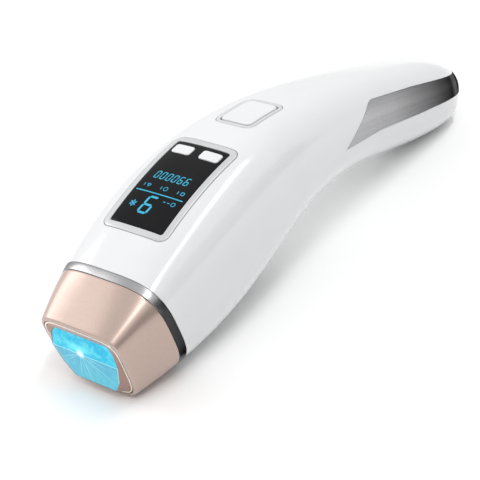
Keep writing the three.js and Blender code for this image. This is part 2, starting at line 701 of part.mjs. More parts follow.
function buildLampHead() {
  const { length, wall } = HEAD;
  const face = faceFrame();
  const stops = [-11, -6];
  const outside = solid(loft([-length, ...stops, -GAP].map((s) => headRing(s, 0))));
  const hollow = solid(loft([
    headRing(-length, -wall, -length - 2),
    ...[...stops, 0].map((s) => headRing(s, -wall)),
    headRing(0, -wall, 2),
  ]));
  const { depth, lip } = WINDOW_FRAME;
  const seatRings = [-length - 2, -length + depth + GAP];
  const seat = solid(loft(seatRings.map((at) => headRing(-length, GAP - lip, at))));
  addPart('head_shell', cut(outside, hollow, seat), ROSE);

  const plate = [-length, -length + depth].flatMap((at) => headRing(-length, -lip, at));
  const prow = hullOf([...plate, ...windowPoints(0, windowDepth)]);
  const opening = hullOf([-4, 8].flatMap((at) => windowPoints(0, () => at)));
  addPart('window_frame', cut(prow, opening), ROSE_DARK);

  const back = windowPoints(GAP, () => WINDOW.depth);
  addPart('window_glass', hullOf([...windowPoints(GAP, windowDepth), ...back]), GLOW_GLASS);
  addPart('filter_glass', box(1.2, 22, 12, [5.2, 0, 0]), QUARTZ, face);
}

function buildLamp() {
  const front = station(0);
  const outline = spread(-1, 1, 8).map((k) => [-8.2 + 7.2 * (1 - k * k), 6.6 * k]);
  const inner = outline.map(([s, n]) => [s - 0.9, n * 0.86]);
  const trough = crossPrism([...outline, ...inner.reverse()], 24);
  addPart('reflector', trough, ALUMINIUM, front);
  addPart('flash_tube', rod(LAMP.radius, LAMP.length, 'y', [LAMP.s, 0, 0], 16), QUARTZ, front);
  const capCentre = (LAMP.length + LAMP.capLength) / 2 + GAP;
  [1, -1].forEach((side, i) => {
    const cap = rod(LAMP.cap, LAMP.capLength, 'y', [LAMP.s, side * capCentre, 0], 16);
    addPart(`tube_cap_${i + 1}`, cap, STEEL, front);
  });

  const plug = join(plugShape(-1, 7.2, -4.7), plugShape(-2.1, -0.6, -3.2));
  const { y: apart, pin, pinLength } = CONTACTS;
  const holes = [apart, -apart].map((y) => solid(inWorld(rod(pin + GAP, 6, 'x', [6.4, y, 0], 12), front)));
  addPart('cartridge_base', cut(plug, plugShape(-3, 5.6, -6.3), ...holes), BLACK_PLASTIC);
  [apart, -apart].forEach((y, i) => {
    addPart(`cartridge_pin_${i + 1}`, rod(pin, pinLength, 'x', [6.1, y, 0], 12), GOLD_PLATE, front);
  });
}

buildShells();
buildFrontRing();
buildTailTrim();
buildCoverScrews();
buildDisplay();
buildFlashButton();
buildChassis();
buildElectronics();
buildCooling();
buildLampSocket();
buildInlet();
buildLampHead();
buildLamp();

export default remover;
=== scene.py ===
"""Looks of a hand-held pulsed light hair remover, built around its CAD frame by a Blender add-on."""

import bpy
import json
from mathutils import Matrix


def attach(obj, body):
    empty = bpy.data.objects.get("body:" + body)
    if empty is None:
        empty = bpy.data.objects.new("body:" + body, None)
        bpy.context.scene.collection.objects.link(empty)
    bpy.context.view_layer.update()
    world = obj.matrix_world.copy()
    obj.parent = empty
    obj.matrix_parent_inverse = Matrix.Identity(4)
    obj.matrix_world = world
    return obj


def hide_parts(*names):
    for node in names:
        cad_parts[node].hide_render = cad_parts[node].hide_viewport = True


bl_info = {
    "name": "Pulsed light hair remover",
    "version": (1, 0, 0),
    "blender": (4, 5, 0),
    "location": "View3D > Sidebar > Hair remover",
    "description": "Builds the shells, lamp head, display, keys, trim and finishes of a hair remover",
    "category": "Object",
}

import json
import math

import bpy
import numpy as np
from bpy.props import FloatProperty, FloatVectorProperty, IntProperty, PointerProperty
from mathutils import Matrix, Vector

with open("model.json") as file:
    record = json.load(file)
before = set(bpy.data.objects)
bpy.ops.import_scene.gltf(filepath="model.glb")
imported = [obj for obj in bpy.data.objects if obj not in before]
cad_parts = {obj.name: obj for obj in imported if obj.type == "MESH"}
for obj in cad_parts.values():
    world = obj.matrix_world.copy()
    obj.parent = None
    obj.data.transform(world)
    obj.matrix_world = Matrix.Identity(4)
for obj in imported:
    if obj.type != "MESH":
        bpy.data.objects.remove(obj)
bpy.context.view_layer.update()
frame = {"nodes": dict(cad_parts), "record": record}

MM = 0.001

# ---------------------------------------------------------------- the handset's surface, in millimetres

# Spine in the plane y = 0, from the front ring (t = 0) to the tail (t = 1), as cubic control points x, z.
SPINE = np.array([[-80.38, 17.14], [-20.38, 31.79], [-10.18, 47.19], [96.32, 5.14]])
# Half width and half height along the spine, as Bernstein coefficients.
HALF_WIDTH = (20.17, 25.57, 23.67, 19.47, 16.07, 14.47)
HALF_HEIGHT = (17.47, 25.97, 21.67, 14.77, 13.97, 16.57)
# Squareness of the section above and below the spine, at the ring and from SQUARE_BLEND on.
SQUARE_TOP = (3.5, 3.0)
SQUARE_BOTTOM = (2.7, 2.1)
SQUARE_BLEND = 0.6
# Rounding of the tail: where it starts along the spine, and how blunt it is.
TAIL_WIDTH = (0.9, 3.4)
TAIL_TOP = (0.89, 3.1)
TAIL_BOTTOM = (0.8, 2.2)

# Millimetres along the spine for each unit of t at its front end.
FRONT_RATE = 185.0
# Station from which the sections crowd together towards the rounded tail.
CROWD_START = 0.88

SHELL_START = 0.0149
RING_LENGTH = 2.6
RING_PROUD = 0.06
RING_EDGE = 0.15
SEAM = 0.74
WALL = 2.6
GAP = 0.16
TRIM_GAP = 0.07

HEAD_LENGTH = 15.4
HEAD_DROP = 0.83
FACE_WIDTH = 15.1
FACE_HEIGHT = 13.02
FACE_SQUARE = (5.4, 4.0)
FACE_TAPER = 0.04
LIP = 1.0
# Right half of the window's edge, y and n from the middle of the face.
WINDOW = np.array([[10.3, 9.0], [12.0, 6.9], [12.9, 2.5], [10.9, -4.2], [8.0, -8.8]])
# The window's two planes: the crease between them, how far it stands forward, and each plane's slope.
CREASE = (2.5, 1.3)
GLASS_INSET = 0.1
UPPER_SLOPE = 0.2538
LOWER_SLOPE = 0.0664
# How fast the window's sides draw in below the crease, and where the flash shows, y and n.
LOWER_SIDE = 0.299
FLASH = (1.7, 2.6)

# Middle station, length, width and corner radius of the openings on top.
DISPLAY = (0.2255, 34.8, 20.0, 1.0)
BEZEL = (0.2255, 39.4, 24.6, 3.0)
KEY = (0.2255, 3.9, 7.2, 1.0)
KEY_PLACE = (13.95, 5.3)
BUTTON = (0.49, 15.2, 11.6, 2.0)
BUTTON_FRAME = (0.49, 18.6, 14.6, 2.9)

# Tail trim seen from the side, as points in x and z.
TRIM_UPPER = [[30.2, 38.6], [57.1, 30.5], [91.1, 19.4], [110.0, 13.2]]
TRIM_LOWER = [[10.9, 30.7], [33.2, 26.5], [58.1, 19.8], [93.0, 11.4], [110.0, 7.2]]
# How far the rounding of the trim's upper front corner reaches down its front and along its top.
TRIM_CORNER = (2.2, 3.0)
TRIM_PROUD = 0.1
TRIM_DEPTH = 1.2

INLET_RADIUS = 3.9
# Stations of the air slots in the bottom cover, and the length, width and corner radius of each.
AIR_STATIONS = np.linspace(0.235, 0.345, 6)
AIR_SLOT = (1.6, 15.0, 0.78)
# Station and y of each cover screw, and the radii of the holes for its shank and its head.
SCREWS = ((0.045, 8.0), (0.045, -8.0), (0.82, 5.0), (0.82, -5.0))
SHANK_HOLE = 1.1
HEAD_HOLE = 2.3

# ---------------------------------------------------------------- the stage, in metres

CAMERA_PLACE = (-0.29978, -0.25114, 0.2447)
FLOOR_HALF = 3.0
# The grey card beside the object: half its length, its y and its height.
CARD = (0.8, -0.6, 0.38)
# Name, place, target, width and height of each light, with its power in watts.
LIGHTS = (
    ("far_side", (-0.27, 0.86, 0.57), (-0.05, 0.0, 0.02), 0.44, 0.44, 2.1),
    ("front_strip", (-0.42, -0.46, 0.88), (-0.09, 0.0, 0.02), 0.4, 0.12, 1.3),
    ("strip", (0.12, -0.27, 1.0), (0.0, 0.0, 0.02), 1.0, 0.13, 3.2),
)

# ---------------------------------------------------------------- formulas of the surface


def bernstein(coefficients, t):
    """Bernstein polynomial: repeated straight mixing of neighbouring coefficients by t, for a whole array."""
    values = [np.asarray(c, float) for c in coefficients]
    while len(values) > 1:
        values = [a * (1 - t) + b * t for a, b in zip(values, values[1:])]
    return values[0]


def rounding(t, tail):
    """One up to the tail's start, then the quarter of a superellipse down to nothing at t = 1."""
    start, power = tail
    share = np.clip((t - start) / (1 - start), 0, 1)
    return (1 - share**power) ** (1 / power)


def squareness(t, pair):
    """Smooth step from the first exponent to the second between t = 0 and SQUARE_BLEND."""
    share = np.clip(t / SQUARE_BLEND, 0, 1)
    return pair[0] + (pair[1] - pair[0]) * share * share * (3 - 2 * share)


def spine_at(t):
    """Centre, unit tangent and upward normal of the spine at t, each with x and z last."""
    t = np.asarray(t, float)
    centre = np.stack([bernstein(SPINE[:, 0], t), bernstein(SPINE[:, 1], t)], -1)
    steps = np.diff(SPINE, axis=0)
    slope = np.stack([bernstein(steps[:, 0], t), bernstein(steps[:, 1], t)], -1)
    tangent = slope / np.linalg.norm(slope, axis=-1, keepdims=True)
    return centre, tangent, np.stack([-tangent[..., 1], tangent[..., 0]], -1)


def place(centre, tangent, normal, s, y, n):
    """Points s along, y across and n above a frame's centre."""
    s, y, n = np.broadcast_arrays(s, y, n)
    flat = centre + tangent * s[..., None] + normal * n[..., None]
    return np.stack([flat[..., 0], y, flat[..., 1]], -1)


def superellipse(angle, width, top, bottom, square_top, square_bottom):
    """y and n of a section: half size times the cosine or sine raised to two over the squareness."""
    c, s = np.cos(angle), np.sin(angle)
    power = 2 / np.where(s >= 0, square_top, square_bottom)
    height = np.where(s >= 0, top, bottom)
    return width * np.sign(c) * np.abs(c) ** power, height * np.sign(s) * np.abs(s) ** power


def skin(t, angle, offset=0.0, slide=0.0):
    """Point of the handset's surface at station t and angle, grown by offset and slid along the spine."""
    t, angle = np.broadcast_arrays(np.asarray(t, float), np.asarray(angle, float))
    height = bernstein(HALF_HEIGHT, t)
    width = np.maximum(bernstein(HALF_WIDTH, t) * rounding(t, TAIL_WIDTH) + offset, 0)
    top = np.maximum(height * rounding(t, TAIL_TOP) + offset, 0)
    bottom = np.maximum(height * rounding(t, TAIL_BOTTOM) + offset, 0)
    y, n = superellipse(angle, width, top, bottom, squareness(t, SQUARE_TOP), squareness(t, SQUARE_BOTTOM))
    return place(*spine_at(t), slide, y, n)


def top_point(t, y):
    """Point of the upper surface at station t and y across."""
    share = np.clip(np.abs(y) / (bernstein(HALF_WIDTH, t) * rounding(t, TAIL_WIDTH)), 0, 1)
    power = squareness(t, SQUARE_TOP)
    n = bernstein(HALF_HEIGHT, t) * rounding(t, TAIL_TOP) * (1 - share**power) ** (1 / power)
    return place(*spine_at(t), 0.0, y, n)


def even_angles(count, squares, sizes):
    """Angles that divide a superellipse into nearly equal lengths."""
    fine = np.linspace(0, 2 * np.pi, 4001)
    y, n = superellipse(fine, sizes[0], sizes[1], sizes[1], *squares)
    length = np.concatenate([[0], np.cumsum(np.hypot(np.diff(y), np.diff(n)))])
    return np.interp(np.arange(count) / count * length[-1], length, fine)


class TopFrame:
    """Plane that touches the upper surface at a station, with u along, y across and heights above it."""

    def __init__(self, t):
        step = 1e-3
        ahead = top_point(np.array(t + step), 0.0) - top_point(np.array(t - step), 0.0)
        self.t = t
        self.rate = np.linalg.norm(ahead) / (2 * step)
        self.centre = top_point(np.array(t), 0.0)[[0, 2]]
        self.tangent = ahead[[0, 2]] / np.linalg.norm(ahead)
        self.normal = np.array([-self.tangent[1], self.tangent[0]])

    def height(self, u, y):
        """Height of the upper surface over the plane: the station is moved until its point lies over u."""
        t = self.t + u / self.rate
        for _ in range(4):
            point = top_point(t, y)
            offset = point[..., [0, 2]] - self.centre
            t = t + (u - offset @ self.tangent) / self.rate
        return (top_point(t, y)[..., [0, 2]] - self.centre) @ self.normal

    def lay(self, u, y, lift):
        """Points over (u, y), lifted from the upper surface."""
        u, y = np.broadcast_arrays(np.asarray(u, float), np.asarray(y, float))
        return place(self.centre, self.tangent, self.normal, u, y, self.height(u, y) + lift)


# ---------------------------------------------------------------- meshes


def grid_quads(rows, columns, wrap_rows=False):
    """Quads of a grid of points whose columns close on themselves; rows may close too."""
    index = np.arange(rows * columns).reshape(rows, columns)
    ahead = np.roll(index, -1, axis=0) if wrap_rows else index[1:]
    here = index if wrap_rows else index[:-1]
    quads = [here, np.roll(here, -1, axis=1), np.roll(ahead, -1, axis=1), ahead]
    return np.stack(quads, -1).reshape(-1, 4)


def signed_volume(points, faces):
    """Six times the volume that the faces enclose: the sum of each fan triangle's triple product."""
    total = 0.0
    for group in faces:
        a = points[group[:, 0]]
        for k in range(1, group.shape[1] - 1):
            total += np.einsum("ij,ij->", a, np.cross(points[group[:, k]], points[group[:, k + 1]]))
    return total


def mesh_from(name, points, faces, smooth=32.0):
    """Mesh object in metres from points in millimetres and groups of faces, turned to face outwards."""
    points = np.asarray(points, float).reshape(-1, 3)
    if signed_volume(points - points.mean(0), faces) < 0:
        faces = [group[:, ::-1] for group in faces]
    mesh = bpy.data.meshes.new(name)
    mesh.from_pydata((points * MM).tolist(), [], [face for group in faces for face in group.tolist()])
    mesh.validate()
    shade(mesh, smooth)
    piece = bpy.data.objects.new(name, mesh)
    bpy.context.scene.collection.objects.link(piece)
    return piece


def shade(mesh, smooth):
    """Smooth shading that keeps edges sharper than this angle, in degrees."""
    mesh.polygons.foreach_set("use_smooth", np.ones(len(mesh.polygons), bool))
    mesh.set_sharp_from_angle(angle=math.radians(smooth))
    mesh.update()


def capped(name, rings, smooth=32.0):
    """Closed body through rings of points; each end is a fan about its middle."""
    rings = np.asarray(rings, float)
    rows, columns = rings.shape[:2]
    points = rings.reshape(-1, 3)
    middles = rings[[0, -1]].mean(1)
    around = np.arange(columns)
    after = np.roll(around, -1)
    last = (rows - 1) * columns
    first_fan = np.stack([np.full(columns, rows * columns), after, around], -1)
    last_fan = np.stack([np.full(columns, rows * columns + 1), last + around, last + after], -1)
    faces = [grid_quads(rows, columns), first_fan, last_fan]
    return mesh_from(name, np.concatenate([points, middles]), faces, smooth)


def looped(name, rings, smooth=32.0):
    """Closed ring-shaped body: a closed profile carried round a closed path."""
    rings = np.asarray(rings, float)
    rows, columns = rings.shape[:2]
    return mesh_from(name, rings.reshape(-1, 3), [grid_quads(rows, columns, True)], smooth)


def prism(name, outline, width=80.0):
    """Prism across the whole width, from an outline of points in x and z."""
    outline = np.asarray(outline, float)
    sides = [np.insert(outline, 1, y, axis=1) for y in (-width / 2, width / 2)]
    count = len(outline)
    around = np.arange(count)
    after = np.roll(around, -1)
    quads = np.stack([around, after, after + count, around + count], -1)
    faces = [quads, around[None, ::-1], (around + count)[None, :]]
    return mesh_from(name, np.concatenate(sides), faces)


def carve(piece, steps):
    """Applies a list of (operation, cutter) booleans in order, and removes the cutters."""
    for operation, cutter in steps:
        modifier = piece.modifiers.new(cutter.name, "BOOLEAN")
        modifier.operation = operation
        modifier.object = cutter
        modifier.solver = "EXACT"
    apply_modifiers(piece)
    for cutter in {cutter for _, cutter in steps}:
        bpy.data.objects.remove(cutter)
    return piece


def apply_modifiers(piece):
    """Replaces the piece's mesh by what its modifiers make of it."""
    bpy.context.view_layer.update()
    evaluated = piece.evaluated_get(bpy.context.evaluated_depsgraph_get())
    mesh = bpy.data.meshes.new_from_object(evaluated)
    piece.modifiers.clear()
    piece.data = mesh


def take_normals(piece, source, smooth=32.0, closeness=0.8):
    """Gives the outside of a cut piece the normals of the uncut surface that it was cut from."""
    shade(piece.data, smooth)
    copy = bpy.data.objects.new("copy", piece.data.copy())
    bpy.context.scene.collection.objects.link(copy)
    transfer = copy.modifiers.new("normals", "DATA_TRANSFER")
    transfer.object = source
    transfer.use_loop_data = True
    transfer.data_types_loops = {"CUSTOM_NORMAL"}
    transfer.loop_mapping = "POLYINTERP_NEAREST"
    apply_modifiers(copy)
    corners = len(piece.data.loops)
    taken = np.empty(corners * 3, np.float32)
    copy.data.corner_normals.foreach_get("vector", taken)
    flat = np.empty(len(piece.data.polygons) * 3, np.float32)
    piece.data.polygons.foreach_get("normal", flat)
    counts = np.empty(len(piece.data.polygons), np.int32)
    piece.data.polygons.foreach_get("loop_total", counts)
    facing = np.repeat(flat.reshape(-1, 3), counts, axis=0)
    taken = taken.reshape(-1, 3)
    outside = np.einsum("ij,ij->i", facing, taken) > closeness
    own = np.empty(corners * 3, np.float32)
    piece.data.corner_normals.foreach_get("vector", own)
    normals = np.where(outside[:, None], taken, own.reshape(-1, 3))
    piece.data.normals_split_custom_set(normals.tolist())
    bpy.data.objects.remove(copy)
    bpy.data.objects.remove(source)
    return piece


def finish_piece(piece, body, slot, material, *nodes):
    """Paints a piece, lets it ride on its body and hides the CAD nodes that it stands for; the slot is not
    used.
    """
    piece.data.materials.clear()
    piece.data.materials.append(material)
    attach(piece, body)
    if nodes:
        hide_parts(*nodes)
    return piece


def rounded_outline(length, width, corner, margin=0.0, arc=10, along=40, across=24):
    """Rounded rectangle about the origin, anticlockwise: four quarter circles and divided straight sides.
    A margin moves the whole outline out, or in where it is negative, and keeps its number of points."""
    half = np.array([length / 2 + margin, width / 2 + margin])
    radius = max(corner + margin, 0.12)
    points = []
    for quarter, sign in enumerate(((1, 1), (-1, 1), (-1, -1), (1, -1))):
        angle = (quarter + np.linspace(0, 1, arc)) * np.pi / 2
        centre = np.array(sign) * (half - radius)
        points.append(centre + radius * np.stack([np.cos(angle), np.sin(angle)], -1))
    full = []
    for quarter, corner_points in enumerate(points):
        following = points[(quarter + 1) % 4][0]
        count = along if quarter % 2 == 0 else across
        share = np.linspace(0, 1, count + 1)[1:-1, None]
        full += [corner_points, corner_points[-1] * (1 - share) + following * share]
    return np.concatenate(full)


def plate(name, size, profile, centre=(0.0, 0.0), closed=False, smooth=32.0):
    """Plate on the upper surface: a profile of (margin, lift) carried round a rounded rectangle.
    An open profile runs from the middle of the top over the edge to the bottom, and both ends are filled by
    shrinking the outline to a point; a closed one makes a frame."""
    t, length, width, corner = size
    over = TopFrame(t)
    rings = []
    for margin, lift in profile:
        outline = rounded_outline(length, width, corner, margin)
        rings.append(over.lay(outline[:, 0] + centre[0], outline[:, 1] + centre[1], lift))
    if closed:
        return looped(name, rings, smooth)
    first, last = profile[0], profile[-1]
    inner = []
    for scale in (0.02, 0.2, 0.4, 0.6, 0.75, 0.88, 0.96):
        outline = rounded_outline(length, width, corner, first[0]) * scale
        inner.append(over.lay(outline[:, 0] + centre[0], outline[:, 1] + centre[1], first[1]))
    under = []
    for scale in (0.6, 0.05):
        outline = rounded_outline(length, width, corner, last[0]) * scale
        under.append(over.lay(outline[:, 0] + centre[0], outline[:, 1] + centre[1], last[1]))
    return capped(name, inner + rings + under, smooth)


def rounded_edge(margin, high, low, radius, steps=5):
    """Profile over an edge: a quarter circle of this radius from the top face down to the side."""
    angle = np.linspace(0, np.pi / 2, steps)
    arc = [(margin - radius + radius * math.sin(a), high - radius + radius * math.cos(a)) for a in angle]
    return arc + [(margin, low)]


def frame_profile(outer, inner, high, low, radius):
    """Closed profile of a raised band between two margins, with its upper edges rounded."""
    rise = rounded_edge(outer, high, low, radius)[::-1]
    fall = [(outer + inner - margin, lift) for margin, lift in rounded_edge(outer, high, low, radius)]
    middle = [(outer + (inner - outer) * k, high) for k in (0.35, 0.5, 0.65)]
    return rise + middle + fall


# ---------------------------------------------------------------- materials


def node(tree, kind, **values):
    """New node of this kind, with its inputs or properties set by name."""
    made = tree.nodes.new(kind)
    for name, value in values.items():
        if name in made.bl_rna.properties:
            setattr(made, name, value)
        else:
            made.inputs[name.replace("_", " ")].default_value = value
    return made


def feed(tree, socket, value):
    """Links an output to this input, or sets the input to a number or to a colour of three numbers."""
    if isinstance(value, bpy.types.NodeSocket):
        tree.links.new(value, socket)
    elif socket.type == "RGBA":
        socket.default_value = (*value, 1.0)
    else:
        socket.default_value = value


def math_node(tree, operation, *operands):
    """Output of a Math node whose operands are outputs or numbers."""
    made = node(tree, "ShaderNodeMath", operation=operation)
    for socket, value in zip(made.inputs, operands):
        feed(tree, socket, value)
    return made.outputs[0]


def ramp(tree, source, low, high):
    """Output that goes smoothly from 0 to 1 as the source goes from low to high."""
    made = node(tree, "ShaderNodeMapRange", interpolation_type="SMOOTHSTEP")
    for name, value in (("Value", source), ("From Min", low), ("From Max", high)):
        feed(tree, made.inputs[name], value)
    return made.outputs["Result"]


def mix_colour(tree, factor, first, second, blend_type="MIX"):
    """Colour made of two by a factor; each of the three is an output or a value."""
    made = node(tree, "ShaderNodeMix", data_type="RGBA", blend_type=blend_type)
    for name, value in (("Factor", factor), ("A", first), ("B", second)):
        feed(tree, made.inputs[name], value)
    return made.outputs["Result"]


def group_tree(name, inputs, outputs):
    """Empty shader node group with named sockets, its input node and its output node."""
    tree = bpy.data.node_groups.new(name, "ShaderNodeTree")
    for socket, kind, value in inputs:
        made = tree.interface.new_socket(socket, in_out="INPUT", socket_type=kind)
        if value is not None:
            made.default_value = value
    for socket, kind in outputs:
        tree.interface.new_socket(socket, in_out="OUTPUT", socket_type=kind)
    return tree, tree.nodes.new("NodeGroupInput"), tree.nodes.new("NodeGroupOutput")


def build_moulded_group():
    """Slow waviness and fine grain of a moulded surface, as one height."""
    inputs = [("Vector", "NodeSocketVector", None), ("Grain", "NodeSocketFloat", 2500.0)]
    tree, given, out = group_tree("moulded_surface", inputs, [("Height", "NodeSocketFloat")])
    slow = node(tree, "ShaderNodeTexNoise", Scale=55.0, Detail=2.0)
    fine = node(tree, "ShaderNodeTexNoise", Detail=3.0)
    tree.links.new(given.outputs["Vector"], slow.inputs["Vector"])
    tree.links.new(given.outputs["Vector"], fine.inputs["Vector"])
    tree.links.new(given.outputs["Grain"], fine.inputs["Scale"])
    mixed = math_node(tree, "MULTIPLY_ADD", fine.outputs[0], 0.12, slow.outputs[0])
    tree.links.new(mixed, out.inputs["Height"])
    return tree


def build_handling_group():
    """Where a hand has been: soft patches crossed by hairline scratches, from 0 to 1."""
    inputs = [("Vector", "NodeSocketVector", None), ("Scratches", "NodeSocketFloat", 0.5)]
    outputs = [("Smudge", "NodeSocketFloat"), ("Scratch", "NodeSocketFloat")]
    tree, given, out = group_tree("handling_marks", inputs, outputs)
    patches = node(tree, "ShaderNodeTexNoise", Scale=42.0, Detail=5.0, Roughness=0.6)
    tree.links.new(given.outputs["Vector"], patches.inputs["Vector"])
    tree.links.new(ramp(tree, patches.outputs[0], 0.42, 0.72), out.inputs["Smudge"])
    stretched = node(tree, "ShaderNodeMapping", Rotation=(0.3, 0.5, 0.7), Scale=(60.0, 2600.0, 900.0))
    tree.links.new(given.outputs["Vector"], stretched.inputs["Vector"])
    lines = node(tree, "ShaderNodeTexNoise", Scale=1.0, Detail=1.0)
    tree.links.new(stretched.outputs[0], lines.inputs["Vector"])
    scratch = math_node(tree, "MULTIPLY", ramp(tree, lines.outputs[0], 0.7, 0.8), given.outputs["Scratches"])
    tree.links.new(scratch, out.inputs["Scratch"])
    return tree


def build_brushed_group():
    """Fine parallel brushing: noise drawn out along one direction."""
    inputs = [("Vector", "NodeSocketVector", None), ("Stretch", "NodeSocketVector", (40.0, 3000.0, 3000.0))]
    outputs = [("Height", "NodeSocketFloat"), ("Streak", "NodeSocketFloat")]
    tree, given, out = group_tree("brushed_lines", inputs, outputs)
    scaled = node(tree, "ShaderNodeVectorMath", operation="MULTIPLY")
    tree.links.new(given.outputs["Vector"], scaled.inputs[0])
    tree.links.new(given.outputs["Stretch"], scaled.inputs[1])
    fine = node(tree, "ShaderNodeTexNoise", Scale=1.0, Detail=3.0, Roughness=0.7)
    broad = node(tree, "ShaderNodeTexNoise", Scale=0.22, Detail=1.0)
    tree.links.new(scaled.outputs[0], fine.inputs["Vector"])
    tree.links.new(scaled.outputs[0], broad.inputs["Vector"])
    tree.links.new(fine.outputs[0], out.inputs["Height"])
    tree.links.new(broad.outputs[0], out.inputs["Streak"])
    return tree


GROUP_MAKERS = {
    "moulded": build_moulded_group,
    "handling": build_handling_group,
    "brushed": build_brushed_group,
}
GROUPS = {}
MATERIALS = {}


def group(name):
    """The shared node group of this name, built at its first use."""
    if name not in GROUPS:
        GROUPS[name] = GROUP_MAKERS[name]()
    return GROUPS[name]


def place_group(tree, name, vector, **values):
    """A shared group placed in a material, read at a vector socket."""
    made = tree.nodes.new("ShaderNodeGroup")
    made.node_tree = group(name)
    tree.links.new(vector, made.inputs["Vector"])
    for socket, value in values.items():
        made.inputs[socket].default_value = value
    return made


def bare_material(name, base, roughness, metallic=0.0, **constants):
    """Material with constant sockets; returns it with its tree, its shader and its object coordinates."""
    material = bpy.data.materials.new(name)
    material.use_nodes = True
    tree = material.node_tree
    shader = tree.nodes["Principled BSDF"]
    feed(tree, shader.inputs["Base Color"], base)
    shader.inputs["Roughness"].default_value = roughness
    shader.inputs["Metallic"].default_value = metallic
    for socket, value in constants.items():
        shader.inputs[socket.replace("_", " ")].default_value = value
    coordinates = tree.nodes.new("ShaderNodeTexCoord")
    MATERIALS[name] = material
    return material, tree, shader, coordinates.outputs["Object"]


def add_bump(tree, shader, height, distance):
    """Feeds a height, which stands for this distance in millimetres at 1, to the shader's normal."""
    bump = node(tree, "ShaderNodeBump", Distance=distance * MM)
    tree.links.new(height, bump.inputs["Height"])
    tree.links.new(bump.outputs[0], shader.inputs["Normal"])


def moulded_plastic(name, base, roughness, worn, wave, spread=0.08, **constants):
    """Moulded plastic: faint waviness, patches of handling that are duller, and hairline scratches.
    worn is the colour in the handled patches, wave the height of the waviness in millimetres."""
    material, tree, shader, vector = bare_material(name, base, roughness, **constants)
    marks = place_group(tree, "handling", vector)
    surface = place_group(tree, "moulded", vector)
    colour = mix_colour(tree, marks.outputs["Smudge"], base, worn)
    tree.links.new(colour, shader.inputs["Base Color"])
    smudged = math_node(tree, "MULTIPLY_ADD", marks.outputs["Smudge"], spread, roughness)
    rough = math_node(tree, "MULTIPLY_ADD", marks.outputs["Scratch"], spread * 2, smudged)
    tree.links.new(rough, shader.inputs["Roughness"])
    add_bump(tree, shader, surface.outputs["Height"], wave)
    return material


def brushed_metal(name, base, streak, roughness, stretch, depth=0.01, bands=None, tilt=0.0):
    """Brushed metal: drawn-out noise varies colour, roughness and height across the brushing, which a tilt in
    degrees turns about y. Bands, where given, paint shade and reflection into the colour: they darken the
    colour and the tint of its sheen along one axis, with lighter stripes between, as painted shade, painted
    dark reflection and painted highlight: the axis, then pairs of place in millimetres and share of the
    colour left."""
    material, tree, shader, vector = bare_material(name, base, roughness, 1.0)
    turned = node(tree, "ShaderNodeMapping", Rotation=(0.0, math.radians(tilt), 0.0))
    tree.links.new(vector, turned.inputs["Vector"])
    lines = place_group(tree, "brushed", turned.outputs[0], Stretch=stretch)
    marks = place_group(tree, "handling", vector)
    colour = mix_colour(tree, lines.outputs["Streak"], streak, base)
    if bands:
        # Painted shade and painted reflection: the bands darken the colour and its sheen's tint where the
        # metal should look shaded or reflect something dark.
        colour = paint_shade_bands(tree, vector, colour, *bands)
        tree.links.new(colour, shader.inputs["Specular Tint"])
    tree.links.new(colour, shader.inputs["Base Color"])
    rough = math_node(tree, "MULTIPLY_ADD", lines.outputs["Height"], 0.16, roughness - 0.08)
    rough = math_node(tree, "MULTIPLY_ADD", marks.outputs["Smudge"], 0.06, rough)
    tree.links.new(rough, shader.inputs["Roughness"])
    add_bump(tree, shader, lines.outputs["Height"], depth)
    return material


def paint_shade_bands(tree, vector, colour, axis, places):
    """Colour multiplied by soft bands of grey along |x|, |y| or |z|, up to 100 millimetres out: painted
    shade, painted reflection and painted highlight baked into the colour.
    """
    axes = tree.nodes.new("ShaderNodeSeparateXYZ")
    tree.links.new(vector, axes.inputs[0])
    along = math_node(tree, "MULTIPLY", math_node(tree, "ABSOLUTE", axes.outputs[axis]), 1 / (100 * MM))
    stops = tree.nodes.new("ShaderNodeValToRGB")
    tree.links.new(along, stops.inputs["Fac"])
    elements = stops.color_ramp.elements
    for place_mm, share in places:
        element = elements.new(place_mm / 100)
        element.color = (share, share, share, 1.0)
    elements.remove(elements[0])
    elements.remove(elements[-1])
    return mix_colour(tree, 1.0, colour, stops.outputs["Color"], "MULTIPLY")


def metallic_paint(name, base, light, roughness, metallic):
    """Metallic paint: fine flakes vary colour and roughness under a clear coat, with soft handling marks."""
    material, tree, shader, vector = bare_material(name, base, roughness, metallic, Coat_Weight=0.35,
                                                   Coat_Roughness=0.12)
    flakes = node(tree, "ShaderNodeTexVoronoi", Scale=7000.0)
    tree.links.new(vector, flakes.inputs["Vector"])
    spark = ramp(tree, flakes.outputs["Distance"], 0.1, 0.7)
    tree.links.new(mix_colour(tree, spark, light, base), shader.inputs["Base Color"])
    marks = place_group(tree, "handling", vector)
    rough = math_node(tree, "MULTIPLY_ADD", marks.outputs["Smudge"], 0.07, roughness)
    rough = math_node(tree, "MULTIPLY_ADD", spark, 0.05, rough)
    tree.links.new(rough, shader.inputs["Roughness"])
    surface = place_group(tree, "moulded", vector, Grain=4000.0)
    add_bump(tree, shader, surface.outputs["Height"], 0.006)
    return material


def circuit_board(name, base):
    """Solder resist over copper: a grid of tracks shows as a lighter, raised green."""
    material, tree, shader, vector = bare_material(name, base, 0.35, Coat_Weight=0.4)
    tracks = node(tree, "ShaderNodeTexBrick", Scale=260.0, Mortar_Size=0.08)
    tree.links.new(vector, tracks.inputs["Vector"])
    lighter = tuple(c * 2.2 for c in base)
    tree.links.new(mix_colour(tree, tracks.outputs["Fac"], base, lighter), shader.inputs["Base Color"])
    add_bump(tree, shader, tracks.outputs["Fac"], 0.03)
    return material


